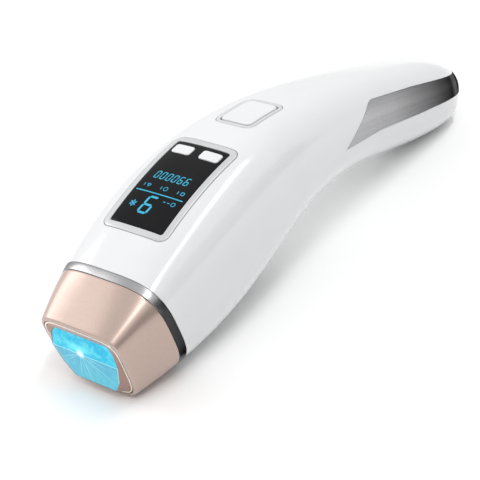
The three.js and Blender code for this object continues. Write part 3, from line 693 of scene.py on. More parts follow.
def lit_figures(name, colour, strength):
    """Lit segments: an even cyan glow with the faint mottling of a diffuser."""
    material, tree, shader, vector = bare_material(name, (0.01, 0.05, 0.06), 0.3, Emission_Strength=strength)
    mottle = node(tree, "ShaderNodeTexNoise", Scale=900.0, Detail=2.0)
    tree.links.new(vector, mottle.inputs["Vector"])
    bluer = (colour[0] * 0.8, colour[1] * 0.8, colour[2])
    share = ramp(tree, mottle.outputs[0], 0.3, 0.7)
    tree.links.new(mix_colour(tree, share, bluer, colour), shader.inputs["Emission Color"])
    return material


def blend(tree, factor, amount, first, second):
    """Colour mixed towards a second one by a factor times an amount."""
    return mix_colour(tree, math_node(tree, "MULTIPLY", factor, amount), first, second)


# Colours of the crystal's painted glow: emission that stands in for the flash's light behind it, with its
# painted flash, rays, halo and glints.
CRYSTAL_LOW = (0.07, 0.37, 0.53)
CRYSTAL_LOWEST = (0.09, 0.43, 0.56)
CRYSTAL_GLOW_PATCH = (0.09, 0.7, 0.82)
CRYSTAL_HAZE = (0.2, 0.72, 0.85)
CRYSTAL_HALO = (0.22, 0.95, 0.95)
CRYSTAL_RAY = (0.45, 0.92, 1.0)
CRYSTAL_GLINT = (0.6, 0.97, 1.0)
CRYSTAL_FLASH = (0.9, 1.0, 1.0)


def window_crystal(name, glow, strength):
    """Crystal that glows with painted light, standing in for the flash behind it: above the crease a deep
    cyan with pale patches of painted glow, below it a duller blue with painted rays that fan out from the
    flash, and painted bright threads of highlight on the crease and the lower edges.
    Its pattern is worked out in millimetres across and up from the middle of the face."""
    material, tree, shader, vector = bare_material(name, (0.02, 0.08, 0.1), 0.08, Emission_Strength=strength,
                                                   Specular_IOR_Level=0.15)
    centre, tilt = face_centre()
    local = node(tree, "ShaderNodeMapping", vector_type="TEXTURE")
    local.inputs["Location"].default_value = (centre[0] * MM, 0.0, centre[1] * MM)
    local.inputs["Rotation"].default_value = (0.0, -tilt, 0.0)
    local.inputs["Scale"].default_value = (MM, MM, MM)
    tree.links.new(vector, local.inputs["Vector"])
    axes = node(tree, "ShaderNodeSeparateXYZ")
    tree.links.new(local.outputs[0], axes.inputs[0])
    y, n = axes.outputs["Y"], axes.outputs["Z"]
    across = math_node(tree, "SUBTRACT", y, FLASH[0])
    above = math_node(tree, "SUBTRACT", n, FLASH[1])
    squares = [math_node(tree, "MULTIPLY", value, value) for value in (across, above)]
    reach = math_node(tree, "SQRT", math_node(tree, "ADD", *squares))
    foot = ramp(tree, n, CREASE[0] + 0.1, CREASE[0] - 0.3)
    lower = mix_colour(tree, ramp(tree, n, CREASE[0], -9.0), CRYSTAL_LOW, CRYSTAL_LOWEST)
    # Painted light: the pale patches, halo, rays, bright threads and flash below are emission colours on the
    # glass, not light from a lamp.
    glow_noise = node(tree, "ShaderNodeTexNoise", Scale=0.32, Detail=4.0, Roughness=0.62, Distortion=0.8)
    tree.links.new(local.outputs[0], glow_noise.inputs["Vector"])
    patches = ramp(tree, glow_noise.outputs[0], 0.38, 0.66)
    colour = blend(tree, patches, 0.75, glow, CRYSTAL_GLOW_PATCH)
    band = math_node(tree, "ABSOLUTE", math_node(tree, "SUBTRACT", n, FLASH[1] + 1.9))
    beside = math_node(tree, "ABSOLUTE", across)
    oval = math_node(tree, "MULTIPLY", ramp(tree, band, 2.1, 0.2), ramp(tree, beside, 6.5, 1.0))
    colour = blend(tree, oval, 0.7, colour, CRYSTAL_HALO)
    colour = mix_colour(tree, foot, colour, lower)
    colour = blend(tree, patches, 0.22, colour, CRYSTAL_HAZE)
    angle = math_node(tree, "ARCTAN2", above, across)
    spokes = node(tree, "ShaderNodeTexNoise", noise_dimensions="1D", Scale=7.5, Detail=2.0, Roughness=0.8)
    tree.links.new(angle, spokes.inputs["W"])
    rays = math_node(tree, "MULTIPLY", ramp(tree, spokes.outputs[0], 0.5, 0.68), ramp(tree, reach, 13.0, 1.0))
    colour = blend(tree, math_node(tree, "MULTIPLY", rays, foot), 0.7, colour, CRYSTAL_RAY)
    level = math_node(tree, "ABSOLUTE", math_node(tree, "SUBTRACT", n, CREASE[0]))
    colour = blend(tree, ramp(tree, level, 0.2, 0.04), 0.6, colour, CRYSTAL_GLINT)
    crease_half = WINDOW[:, 0].max() - GLASS_INSET
    outline = math_node(tree, "MULTIPLY_ADD", n, LOWER_SIDE, crease_half - CREASE[0] * LOWER_SIDE)
    side = math_node(tree, "SUBTRACT", outline, math_node(tree, "ABSOLUTE", y))
    edge = math_node(tree, "MULTIPLY", ramp(tree, side, 0.35, 0.1), foot)
    colour = blend(tree, edge, 0.55, colour, CRYSTAL_GLINT)
    colour = blend(tree, ramp(tree, reach, 2.2, 0.2), 0.95, colour, CRYSTAL_FLASH)
    tree.links.new(colour, shader.inputs["Emission Color"])
    return material


def face_centre():
    """Centre of the treatment face in x and z, and the head's tilt in radians."""
    centre, tangent, normal = spine_at(0.0)
    return centre - tangent * HEAD_LENGTH - normal * HEAD_DROP, math.atan2(tangent[1], tangent[0])


# ---------------------------------------------------------------- what a user may change


class FinishSettings(bpy.types.PropertyGroup):
    """Colours of the finishes."""

    white: FloatVectorProperty(
        name="White", description="Colour of the shells, keys and button", subtype="COLOR", size=3,
        min=0.0, max=1.0, default=(0.735, 0.74, 0.75))
    rose: FloatVectorProperty(
        name="Rose", description="Colour of the lamp head's shell", subtype="COLOR", size=3,
        min=0.0, max=1.0, default=(0.485, 0.36, 0.31))
    rose_dark: FloatVectorProperty(
        name="Window frame", description="Colour of the frame round the window", subtype="COLOR", size=3,
        min=0.0, max=1.0, default=(0.33, 0.185, 0.15))
    silver: FloatVectorProperty(
        name="Silver", description="Colour of the ring and the tail trim", subtype="COLOR", size=3,
        min=0.0, max=1.0, default=(0.66, 0.66, 0.67))
    glow: FloatVectorProperty(
        name="Glow", description="Colour of the lit window", subtype="COLOR", size=3,
        min=0.0, max=1.0, default=(0.006, 0.44, 0.7))


class DetailSettings(bpy.types.PropertyGroup):
    """Small sizes of the visible pieces."""

    bezel_edge: FloatProperty(
        name="Bezel edge", description="Radius of the bezel's edges", subtype="DISTANCE", unit="LENGTH",
        default=0.35 * MM)
    key_edge: FloatProperty(
        name="Key edge", description="Radius of the keys' edges", subtype="DISTANCE", unit="LENGTH",
        default=0.35 * MM)
    lip_edge: FloatProperty(
        name="Lip edge", description="Radius of the lamp head's front lip", subtype="DISTANCE", unit="LENGTH",
        default=0.45 * MM)
    level: IntProperty(name="Level", description="Level shown as the big figure", min=0, max=9, default=9)
    count: IntProperty(
        name="Flashes left", description="Counter shown on the display", min=0, max=999999, default=990000)


class StageSettings(bpy.types.PropertyGroup):
    """Camera and light."""

    azimuth: FloatProperty(
        name="Azimuth", description="Camera's angle round the object", subtype="ANGLE", unit="ROTATION",
        default=math.radians(-47.61))
    elevation: FloatProperty(
        name="Elevation", description="Camera's angle above the floor", subtype="ANGLE", unit="ROTATION",
        default=math.radians(32.01))
    roll: FloatProperty(
        name="Roll", description="Camera's turn about its own axis", subtype="ANGLE", unit="ROTATION",
        default=math.radians(-8.86))
    lens: FloatProperty(name="Lens", description="Focal length in millimetres", default=103.63)
    brightness: FloatProperty(name="Brightness", description="Strength of the surrounding light", default=1.0)


def settings():
    """The scene's settings of the three groups."""
    scene = bpy.context.scene
    return scene.remover_finish, scene.remover_detail, scene.remover_stage


# ---------------------------------------------------------------- shells, ring and trim

FINE_AROUND = 192
COARSE_AROUND = 48


def tail_stations(start, count, round_count):
    """Even stations up to CROWD_START, then ones that crowd towards the end by a sine of even angles."""
    straight = np.linspace(start, CROWD_START, count)
    angle = np.linspace(0, np.pi / 2, round_count + 1)[1:]
    return np.concatenate([straight, CROWD_START + (1 - CROWD_START) * np.sin(angle)])


def body_solid(name, stations, offset=0.0, slide=0.0, around=FINE_AROUND):
    """Closed body of the handset's shape through these stations."""
    angles = even_angles(around, (3.2, 2.4), (21.0, 19.5))
    return capped(name, skin(stations[:, None], angles[None, :], offset, slide))


def seam_outline(side):
    """Outline in x and z of everything above (side 1) or below (side -1) the seam on the underside."""
    t = np.linspace(0, 0.93, 60)
    centre, _, normal = spine_at(t)
    line = centre - normal * (SEAM * bernstein(HALF_HEIGHT, t))[:, None]
    first = line[0] + (line[0] - line[1]) * 12
    last = line[-1] + (line[-1] - line[-2]) * 14
    edge = np.concatenate([[first], line, [last]]) + [0, side * GAP / 2]
    far = 90.0 if side > 0 else -40.0
    return np.concatenate([edge, [[last[0], far], [first[0], far]]])


def trim_outline(clearance):
    """Outline in x and z of the tail trim's wedge, grown by a clearance. Its upper front corner is rounded by
    a quadratic curve."""
    upper = np.array(TRIM_UPPER) + [0, clearance]
    lower = np.array(TRIM_LOWER) - [0, clearance]
    upper[0, 0] -= clearance
    lower[0] += [-2 * clearance, clearance / 2]
    corner = upper[0]
    start = corner + (lower[0] - corner) * (TRIM_CORNER[0] / np.linalg.norm(lower[0] - corner))
    end = corner + (upper[1] - corner) * (TRIM_CORNER[1] / np.linalg.norm(upper[1] - corner))
    share = np.linspace(0, 1, 9)[:, None]
    arc = (1 - share) ** 2 * start + 2 * share * (1 - share) * corner + share**2 * end
    return np.concatenate([lower, upper[:0:-1], arc[::-1]])


def rod_along(name, centre, tangent, normal, s_range, y, n, radius, sides=48):
    """Cylinder along a frame's tangent between two distances."""
    angle = np.arange(sides) / sides * 2 * np.pi
    rings = [place(centre, tangent, normal, s, y + radius * np.cos(angle), n + radius * np.sin(angle))
             for s in s_range]
    return capped(name, rings)


def rod_up(name, t, y, n_range, radius, sides=40):
    """Cylinder along the spine's normal at t between two heights."""
    centre, tangent, normal = spine_at(t)
    angle = np.arange(sides) / sides * 2 * np.pi
    rings = [place(centre, tangent, normal, radius * np.cos(angle), y + radius * np.sin(angle), n)
             for n in n_range]
    return capped(name, rings)


def cover_floor(t, y):
    """Height of the cover's outer face from the spine at t and y."""
    width = bernstein(HALF_WIDTH, t) * rounding(t, TAIL_WIDTH)
    power = squareness(t, SQUARE_BOTTOM)
    bottom = bernstein(HALF_HEIGHT, t) * rounding(t, TAIL_BOTTOM)
    return -bottom * (1 - (np.abs(y) / width) ** power) ** (1 / power)


def whole_shell(name):
    """The handset's outer body before it is split and cut, its hollow, and a copy that stays uncut."""
    stations = tail_stations(SHELL_START, 230, 40)
    inside_stations = np.concatenate([[-0.01], np.linspace(0.005, 0.975, 50)])
    outside = body_solid(name, stations)
    hollow = body_solid("hollow", inside_stations, -WALL, 0.0, COARSE_AROUND)
    return outside, hollow, body_solid("smooth_source", stations)


class REMOVER_OT_upper_shell(bpy.types.Operator):
    """Upper shell: the whole body above the seam, with the display, button, trim and inlet openings"""

    bl_idname = "remover.upper_shell"
    bl_label = "Upper shell"

    def execute(self, context):
        shell, hollow, smooth_source = whole_shell("upper_shell_skin")
        recess = body_solid("recess", tail_stations(0.45, 60, 30), 3.0, 3.0, 64)
        depth = TRIM_DEPTH + 0.3
        core = body_solid("core", tail_stations(0.42, 60, 30), -depth, -depth, 96)
        carve(recess, [("DIFFERENCE", core), ("INTERSECT", prism("wedge", trim_outline(TRIM_GAP)))])
        through = [(GAP, 4.0), (GAP, -6.0)]
        bezel = plate("bezel_hole", BEZEL, through)
        button = plate("button_hole", BUTTON_FRAME, through)
        inlet = rod_along("inlet_hole", *spine_at(1.0), (-30.0, 5.0), 0.0, 0.0, INLET_RADIUS + GAP)
        above = prism("above", seam_outline(1))
        carve(shell, [("DIFFERENCE", hollow), ("INTERSECT", above), ("DIFFERENCE", recess),
                      ("DIFFERENCE", bezel), ("DIFFERENCE", button), ("DIFFERENCE", inlet)])
        take_normals(shell, smooth_source)
        finish_piece(shell, "handset", "gloss_white", MATERIALS["gloss_white"], "upper_shell")
        return {"FINISHED"}


class REMOVER_OT_bottom_cover(bpy.types.Operator):
    """Bottom cover: the whole body below the seam, with air slots and countersunk screw holes"""

    bl_idname = "remover.bottom_cover"
    bl_label = "Bottom cover"

    def execute(self, context):
        cover, hollow, smooth_source = whole_shell("bottom_cover_skin")
        steps = [("DIFFERENCE", hollow), ("INTERSECT", prism("below", seam_outline(-1)))]
        outline = rounded_outline(*AIR_SLOT, arc=8, along=2, across=2)
        for t in AIR_STATIONS:
            rings = [place(*spine_at(t), outline[:, 0], outline[:, 1], n) for n in (-26.0, -14.0)]
            steps.append(("DIFFERENCE", capped(f"slot_{t:.3f}", rings)))
        for i, (t, y) in enumerate(SCREWS):
            floor = cover_floor(t, y)
            steps.append(("DIFFERENCE", rod_up(f"shank_hole_{i}", t, y, (floor - 2, floor + 8), SHANK_HOLE)))
            steps.append(("DIFFERENCE", rod_up(f"head_hole_{i}", t, y, (floor - 5, floor + 1.2), HEAD_HOLE)))
        carve(cover, steps)
        take_normals(cover, smooth_source)
        finish_piece(cover, "handset", "gloss_white", MATERIALS["gloss_white"], "bottom_cover")
        return {"FINISHED"}


class REMOVER_OT_front_ring(bpy.types.Operator):
    """Front ring: a band of the shell's own section with rounded edges"""

    bl_idname = "remover.front_ring"
    bl_label = "Front ring"

    def execute(self, context):
        angles = even_angles(256, (3.5, 2.7), (20.2, 17.5))
        quarter = np.linspace(0, np.pi / 2, 5)[::-1]
        front = [(RING_EDGE * (1 - math.sin(a)), RING_PROUD - RING_EDGE * (1 - math.cos(a))) for a in quarter]
        rear = [(RING_LENGTH - s, offset) for s, offset in front[::-1]]
        inside = [(RING_LENGTH, -2.0), (RING_LENGTH - 0.3, -2.3), (0.3, -2.3)]
        profile = [(0.0, -2.0)] + front + rear + inside
        rings = [skin(np.full(angles.size, s / FRONT_RATE), angles, offset) for s, offset in profile]
        ring = looped("front_ring_band", rings, 40.0)
        finish_piece(ring, "handset", "brushed_silver", MATERIALS["ring_silver"], "front_ring")
        return {"FINISHED"}


class REMOVER_OT_tail_trim(bpy.types.Operator):
    """Tail trim: a band just proud of the body, cut to the wedge and wrapped round the tail"""

    bl_idname = "remover.tail_trim"
    bl_label = "Tail trim"

    def execute(self, context):
        stations = tail_stations(0.45, 160, 50)
        band = body_solid("tail_trim_band", stations, TRIM_PROUD, TRIM_PROUD)
        smooth_source = body_solid("smooth_source", stations, TRIM_PROUD, TRIM_PROUD)
        core = body_solid("core", tail_stations(0.44, 60, 30), -TRIM_DEPTH, -TRIM_DEPTH, 96)
        carve(band, [("DIFFERENCE", core), ("INTERSECT", prism("wedge", trim_outline(0.0)))])
        take_normals(band, smooth_source)
        finish_piece(band, "handset", "brushed_silver", MATERIALS["trim_silver"], "tail_trim")
        return {"FINISHED"}


class REMOVER_OT_cover_screws(bpy.types.Operator):
    """Cover screws: domed heads with a cross recess, on their shanks"""

    bl_idname = "remover.cover_screws"
    bl_label = "Cover screws"

    def execute(self, context):
        for i, (t, y) in enumerate(SCREWS):
            floor = cover_floor(t, y)
            frame_here = spine_at(t)
            angle = np.arange(48) / 48 * 2 * np.pi
            profile = [(0.05, 0.12), (0.8, 0.14), (1.4, 0.22), (1.75, 0.36), (1.9, 0.55), (1.9, 0.85),
                       (0.8, 0.95), (0.8, 4.2), (0.5, 4.8)]
            rings = [place(*frame_here, r * np.cos(angle), y + r * np.sin(angle), floor + n)
                     for r, n in profile]
            screw = capped(f"cover_screw_{i + 1}_steel", rings)
            arms = []
            for j, (long, wide) in enumerate(((1.25, 0.28), (0.28, 1.25))):
                outline = rounded_outline(2 * long, 2 * wide, 0.12, arc=4, along=2, across=2)
                sections = [place(*frame_here, outline[:, 0] * k, y + outline[:, 1] * k, floor + n)
                            for k, n in ((1.0, -1.0), (0.9, 0.62))]
                arms.append(("DIFFERENCE", capped(f"arm_{j}", sections)))
            carve(screw, arms)
            shade(screw.data, 35.0)
            finish_piece(screw, "handset", "steel", MATERIALS["steel"], f"cover_screw_{i + 1}")
        return {"FINISHED"}


class REMOVER_OT_inlet(bpy.types.Operator):
    """DC inlet: a turned barrel with a chamfered mouth, and its round-tipped pin"""

    bl_idname = "remover.inlet"
    bl_label = "DC inlet"

    def execute(self, context):
        tail = spine_at(1.0)
        angle = np.arange(72) / 72 * 2 * np.pi
        barrel = [(INLET_RADIUS, -13.6), (INLET_RADIUS, -1.8), (3.7, -1.6), (3.15, -1.6), (2.75, -2.1),
                  (2.75, -12.1), (1.3, -12.1), (1.3, -13.6)]
        rings = [place(*tail, s, r * np.cos(angle), r * np.sin(angle)) for r, s in barrel]
        sleeve = looped("dc_inlet_barrel", rings, 30.0)
        finish_piece(sleeve, "handset", "black_plastic", MATERIALS["black_plastic"], "dc_inlet")
        tip = [(1.0, -14.3), (1.0, -4.6), (0.92, -4.25), (0.7, -3.98), (0.35, -3.85), (0.03, -3.8)]
        rings = [place(*tail, s, r * np.cos(angle), r * np.sin(angle)) for r, s in tip]
        pin = capped("dc_inlet_contact", rings)
        finish_piece(pin, "handset", "gold_plate", MATERIALS["gold_plate"], "dc_inlet_pin")
        return {"FINISHED"}


# ---------------------------------------------------------------- display, keys and button


class REMOVER_OT_display(bpy.types.Operator):
    """Display: the silver bezel and the curved black lens with holes for its two keys"""

    bl_idname = "remover.display"
    bl_label = "Display"

    def execute(self, context):
        edge = settings()[1].bezel_edge / MM
        band = frame_profile(0.0, -2.18, 0.2, -2.6, edge)
        bezel = plate("display_bezel_band", BEZEL, band, closed=True, smooth=40.0)
        finish_piece(bezel, "handset", "bezel_silver", MATERIALS["bezel_silver"], "display_bezel")

        profile = rounded_edge(0.0, 0.05, -1.6, 0.12)
        lens = plate("display_lens_panel", DISPLAY, profile)
        source = plate("smooth_source", DISPLAY, profile)
        holes = []
        for side in (1, -1):
            centre = (KEY_PLACE[0], side * KEY_PLACE[1])
            holes.append(("DIFFERENCE", plate(f"key_hole_{side}", KEY, [(GAP, 3.0), (GAP, -5.0)], centre)))
        carve(lens, holes)
        take_normals(lens, source)
        finish_piece(lens, "handset", "panel_black", MATERIALS["panel_black"], "display_lens")
        return {"FINISHED"}


class REMOVER_OT_keys(bpy.types.Operator):
    """Keys: two crowned white caps that stand through the lens"""

    bl_idname = "remover.keys"
    bl_label = "Mode and level keys"

    def execute(self, context):
        edge = settings()[1].key_edge / MM
        for name, side in (("mode", 1), ("level", -1)):
            centre = (KEY_PLACE[0], side * KEY_PLACE[1])
            cap = plate(f"{name}_key_cap", KEY, rounded_edge(0.0, 0.35, -2.4, edge, 7), centre)
            finish_piece(cap, f"{name}_key_body", "gloss_white", MATERIALS["key_white"], f"{name}_key")
        return {"FINISHED"}


# Bars that are lit for each digit, by their usual letters.
SEGMENTS = {0: "abcdef", 1: "bc", 2: "abged", 3: "abgcd", 4: "fgbc", 5: "afgcd", 6: "afgedc", 7: "abc",
            8: "abcdefg", 9: "abcdfg"}
# Width, height, bar and lean of the level's digit and of the counter's, and their places to the right and up.
LEVEL_SIZE = (3.1, 6.1, 0.72, 0.12)
LEVEL_PLACE = (0.9, 9.5)
COUNT_SIZE = (1.25, 2.75, 0.3, 0.15)
COUNT_PLACE = (-5.6, -1.9)
COUNT_STEP = 2.25


def bar(start, end, thickness):
    """Long hexagon between two points: a bar with pointed ends, as six corners."""
    start, end = np.array(start, float), np.array(end, float)
    along = (end - start) / np.linalg.norm(end - start)
    side = np.array([-along[1], along[0]]) * thickness / 2
    inset = along * thickness / 2
    near, far = start + inset, end - inset
    return np.array([start, near - side, far - side, end, far + side, near + side])


def seven_segments(digit, width, height, thickness, lean):
    """Bars of one digit about its middle, in right and up coordinates, leaning to the right by lean."""
    w, h, g = width / 2, height / 2, thickness * 0.12
    ends = {
        "a": ((-w + g, h), (w - g, h)), "b": ((w, h - g), (w, g)), "c": ((w, -g), (w, -h + g)),
        "d": ((-w + g, -h), (w - g, -h)), "e": ((-w, -g), (-w, -h + g)), "f": ((-w, h - g), (-w, g)),
        "g": ((-w + g, 0), (w - g, 0)),
    }
    bars = [bar(*ends[name], thickness) for name in SEGMENTS[digit]]
    return [b + np.stack([b[:, 1] * lean, np.zeros(6)], -1) for b in bars]


def stroke_ring(centre, radius, thickness, corners=6, turn=0.0):
    """Outline of a regular polygon as bars between its corners."""
    angle = turn + np.arange(corners + 1) / corners * 2 * np.pi
    points = np.array(centre) + radius * np.stack([np.cos(angle), np.sin(angle)], -1)
    return [bar(a, b, thickness) for a, b in zip(points, points[1:])]


def snowflake(centre, radius, thickness):
    """Three strokes crossed at sixty degrees, with a short arm across each end."""
    bars = []
    for k in range(6):
        direction = np.array([math.cos(k * math.pi / 3 + 0.5), math.sin(k * math.pi / 3 + 0.5)])
        side = np.array([-direction[1], direction[0]])
        tip = np.array(centre) + direction * radius
        knot = np.array(centre) + direction * radius * 0.6
        bars.append(bar(centre, tip, thickness))
        bars.append(bar(knot - side * radius * 0.28, knot + side * radius * 0.28, thickness))
    return bars


class REMOVER_OT_figures(bpy.types.Operator):
    """Lit figures: the level, the flash counter, a rule, a snowflake and plain symbols under the lens"""

    bl_idname = "remover.figures"
    bl_label = "Lit figures"

    def execute(self, context):
        detail = settings()[1]
        bars = [b + LEVEL_PLACE for b in seven_segments(detail.level, *LEVEL_SIZE)]
        for i, digit in enumerate(f"{detail.count:06d}"):
            place_here = (COUNT_PLACE[0] + i * COUNT_STEP, COUNT_PLACE[1])
            bars += [b + place_here for b in seven_segments(int(digit), *COUNT_SIZE)]
        rule = np.linspace(-8.9, 8.9, 13)
        bars += [np.array([[a, 4.85], [b, 4.85], [b, 5.2], [a, 5.2]]) for a, b in zip(rule, rule[1:])]
        bars += snowflake((6.2, 10.2), 1.35, 0.24)
        bars += stroke_ring((-6.9, 7.1), 0.7, 0.22, 8)
        bars += [bar((x - 0.5, 7.1), (x + 0.5, 7.1), 0.24) for x in (-5.1, -3.6)]
        for x, corners, turn in ((-6.4, 4, math.pi / 4), (0.0, 8, 0.0), (6.4, 3, math.pi / 2)):
            bars += stroke_ring((x - 0.8, 2.6), 0.75, 0.22, corners, turn)
            bars += [bar((x + 0.9, 3.2), (x + 0.9, 2.0), 0.24)]
        over = TopFrame(DISPLAY[0])
        points, groups, start = [], {4: [], 6: []}, 0
        for outline in bars:
            count = len(outline)
            y, u = outline[:, 0], -outline[:, 1]
            points += [over.lay(u, y, 0.06), over.lay(u, y, 0.095)]
            low = np.arange(start, start + count)
            high = low + count
            groups[count] += [low[::-1], high]
            around = np.stack([low, np.roll(low, -1), np.roll(high, -1), high], -1)
            groups[4] += list(around)
            start += 2 * count
        faces = [np.array(group_of_faces) for group_of_faces in groups.values()]
        figures = mesh_from("display_figures", np.concatenate(points), faces)
        finish_piece(figures, "handset", "window_crystal", MATERIALS["lit_figures"])
        return {"FINISHED"}


class REMOVER_OT_flash_button(bpy.types.Operator):
    """Flash button: a flush white cap inside a low white frame"""

    bl_idname = "remover.flash_button"
    bl_label = "Flash button"

    def execute(self, context):
        band = frame_profile(0.0, -1.25, 0.12, -2.6, 0.3)
        rim = plate("flash_button_rim", BUTTON_FRAME, band, closed=True, smooth=40.0)
        finish_piece(rim, "handset", "gloss_white", MATERIALS["rim_white"], "flash_button_frame")
        cap = plate("flash_button_cap", BUTTON, rounded_edge(0.0, 0.3, -3.9, 0.35, 7))
        finish_piece(cap, "flash_button_body", "gloss_white", MATERIALS["key_white"], "flash_button")
        return {"FINISHED"}


# ---------------------------------------------------------------- lamp head


def head_ring(s, offset, angles, at=None):
    """Section of the lamp head at s, which is negative in front of the ring: half sizes, squareness and taper
    are mixed straight from the ring's section to the face's, and the whole moves down with the face. It has
    the shape for s and stands there too, unless at gives another place."""
    share = -s / HEAD_LENGTH

    def mix(ring, face):
        return ring + (face - ring) * share

    square = (mix(SQUARE_TOP[0], FACE_SQUARE[0]), mix(SQUARE_BOTTOM[0], FACE_SQUARE[1]))
    width = mix(HALF_WIDTH[0], FACE_WIDTH) + offset
    height = mix(HALF_HEIGHT[0], FACE_HEIGHT) + offset
    y, n = superellipse(angles, width, height, height, *square)
    y = y * (1 + FACE_TAPER * share * n / height)
    return place(*spine_at(0.0), s if at is None else at, y, n - HEAD_DROP * share)


def face_point(s, y, n):
    """Point s behind the treatment face's plane, y across and n up from its middle."""
    _, tangent, normal = spine_at(0.0)
    return place(face_centre()[0], tangent, normal, s, y, n)


def window_depth(n):
    """Depth of the window's two planes behind the face: both lean forward from the crease's own place."""
    rise = np.where(n > CREASE[0], UPPER_SLOPE, LOWER_SLOPE)
    return -CREASE[1] + rise * (n - CREASE[0])


def window_edge(y, n, middle=0.3):
    """Points of the window's edge on the rays that run from its middle through the points (y, n)."""
    corners = np.concatenate([WINDOW, WINDOW[::-1] * [-1, 1]])
    after = np.roll(corners, -1, axis=0)
    ray = np.stack([y, n - middle], -1)
    start = corners - [0, middle]
    side = after - corners
    cross = ray[:, None, 0] * side[None, :, 1] - ray[:, None, 1] * side[None, :, 0]
    reach = (start[:, 0] * side[:, 1] - start[:, 1] * side[:, 0])[None] / cross
    share = (start[None, :, 0] * ray[:, None, 1] - start[None, :, 1] * ray[:, None, 0]) / cross
    hit = (reach > 0) & (share > -1e-9) & (share < 1 + 1e-9)
    found = np.where(hit, reach, np.inf).min(1)
    return ray * found[:, None] + [0, middle]


HEAD_ANGLES = even_angles(256, (4.6, 3.4), (17.5, 15.2))


class REMOVER_OT_head_shell(bpy.types.Operator):
    """Lamp head shell: the tapered cap, with a rounded front lip"""

    bl_idname = "remover.head_shell"
    bl_label = "Lamp head shell"

    def execute(self, context):
        radius = settings()[1].lip_edge / MM
        rear = [(-2.0, -1.8), (-0.55, -1.8), (-0.1, -1.5), (-0.1, -0.2), (-0.15, -0.06)]
        rings = [head_ring(s, offset, HEAD_ANGLES) for s, offset in rear]
        for s in np.linspace(-0.3, -HEAD_LENGTH + radius, 40):
            rings.append(head_ring(s, 0.0, HEAD_ANGLES))
        for a in np.linspace(0, np.pi / 2, 7)[1:]:
            s = -HEAD_LENGTH + radius - radius * math.sin(a)
            rings.append(head_ring(s, -radius * (1 - math.cos(a)), HEAD_ANGLES))
        seat = -HEAD_LENGTH + 3.7
        for at in (-HEAD_LENGTH, seat):
            rings.append(head_ring(-HEAD_LENGTH, -LIP + 0.12, HEAD_ANGLES, at))
        rings.append(head_ring(seat, -1.8, HEAD_ANGLES))
        shell = looped("head_shell_skin", rings, 30.0)
        finish_piece(shell, "lamp_head", "rose_gold", MATERIALS["rose_gold"], "head_shell")
        return {"FINISHED"}


class REMOVER_OT_window_frame(bpy.types.Operator):
    """Window frame: flanks from the lip to the edge of the window, and a fine bead as a piece of its own,
    coloured light cream as a painted highlight along the frame's outer edge
    """

    bl_idname = "remover.window_frame"
    bl_label = "Window frame"

    def execute(self, context):
        groove = [(0.0, 3.4), (0.0, 0.32), (-0.1, 0.22), (-0.66, 0.2), (-0.74, 0.1)]
        rings = [head_ring(-HEAD_LENGTH, offset - LIP, HEAD_ANGLES, -HEAD_LENGTH + depth)
                 for offset, depth in groove]
        turn = np.linspace(0, 2 * np.pi, 13)[:-1]
        circle = [(-0.38 - 0.24 * math.cos(a), 0.08 + 0.24 * math.sin(a)) for a in turn]
        bead = [head_ring(-HEAD_LENGTH, offset - LIP, HEAD_ANGLES, -HEAD_LENGTH + depth)
                for offset, depth in circle]
        # The bead's light cream colour is a painted highlight along the frame's outer edge.
        finish_piece(looped("window_frame_bead", bead), "lamp_head", "rose_gold", MATERIALS["bead_painted_highlight"])
        flat = rings[-1][:, [0, 2]] - face_centre()[0]
        y, n = rings[-1][:, 1], flat @ spine_at(0.0)[2]
        edge = window_edge(y, n)
        depth = window_depth(edge[:, 1])
        for share in np.linspace(0.06, 0.94, 14):
            across = y + (edge[:, 0] - y) * share
            up = n + (edge[:, 1] - n) * share
            rings.append(face_point(depth * share, across, up))
        for inward, behind in ((0.0, 0.06), (-0.05, 0.2)):
            rings.append(face_point(depth + behind, edge[:, 0] * (1 + inward / 12), edge[:, 1] + inward))
        rings.append(face_point(np.full(y.shape, 3.4), edge[:, 0], edge[:, 1]))
        frame_piece = looped("window_frame_rim", rings, 38.0)
        finish_piece(frame_piece, "lamp_head", "rose_gold_dark", MATERIALS["rose_gold_dark"], "window_frame")
        return {"FINISHED"}


class REMOVER_OT_window_glass(bpy.types.Operator):
    """Window glass: the crystal, glowing with painted light, with its two planes that meet in a crease"""

    bl_idname = "remover.window_glass"
    bl_label = "Window glass"

    def execute(self, context):
        top, bottom = WINDOW[0, 1] - GLASS_INSET, WINDOW[-1, 1] + GLASS_INSET
        levels = np.concatenate([np.linspace(top, CREASE[0] + 0.15, 14), [CREASE[0]],
                                 np.linspace(CREASE[0] - 0.15, bottom, 20)])
        half = np.interp(-levels, -WINDOW[:, 1], WINDOW[:, 0]) - GLASS_INSET
        across = np.linspace(1, -1, 25)[None, :]
        side = np.array([[1, 0.45], [1, 0.2], [0.996, 0.09], [0.985, 0.04]])
        front = window_depth(levels)[:, None] + GLASS_INSET / 2
        left = half[:, None] * side[None, :, 0]
        y = np.concatenate([left, half[:, None] * across * 0.97, -left[:, ::-1]], 1)
        s = np.concatenate([front + side[None, :, 1], front + 0 * half[:, None] * across,
                            front + side[None, ::-1, 1]], 1)
        behind = np.array([-1.0, 1.0])[None, :] * np.minimum(half, 11.9)[:, None] * 0.97
        y = np.concatenate([y, behind], 1)
        s = np.concatenate([s, np.full(behind.shape, 3.2)], 1)
        crystal = capped("window_glass_crystal", face_point(s, y, levels[:, None] + 0 * y), 20.0)
        finish_piece(crystal, "lamp_head", "window_crystal", MATERIALS["window_crystal"], "window_glass")
        return {"FINISHED"}


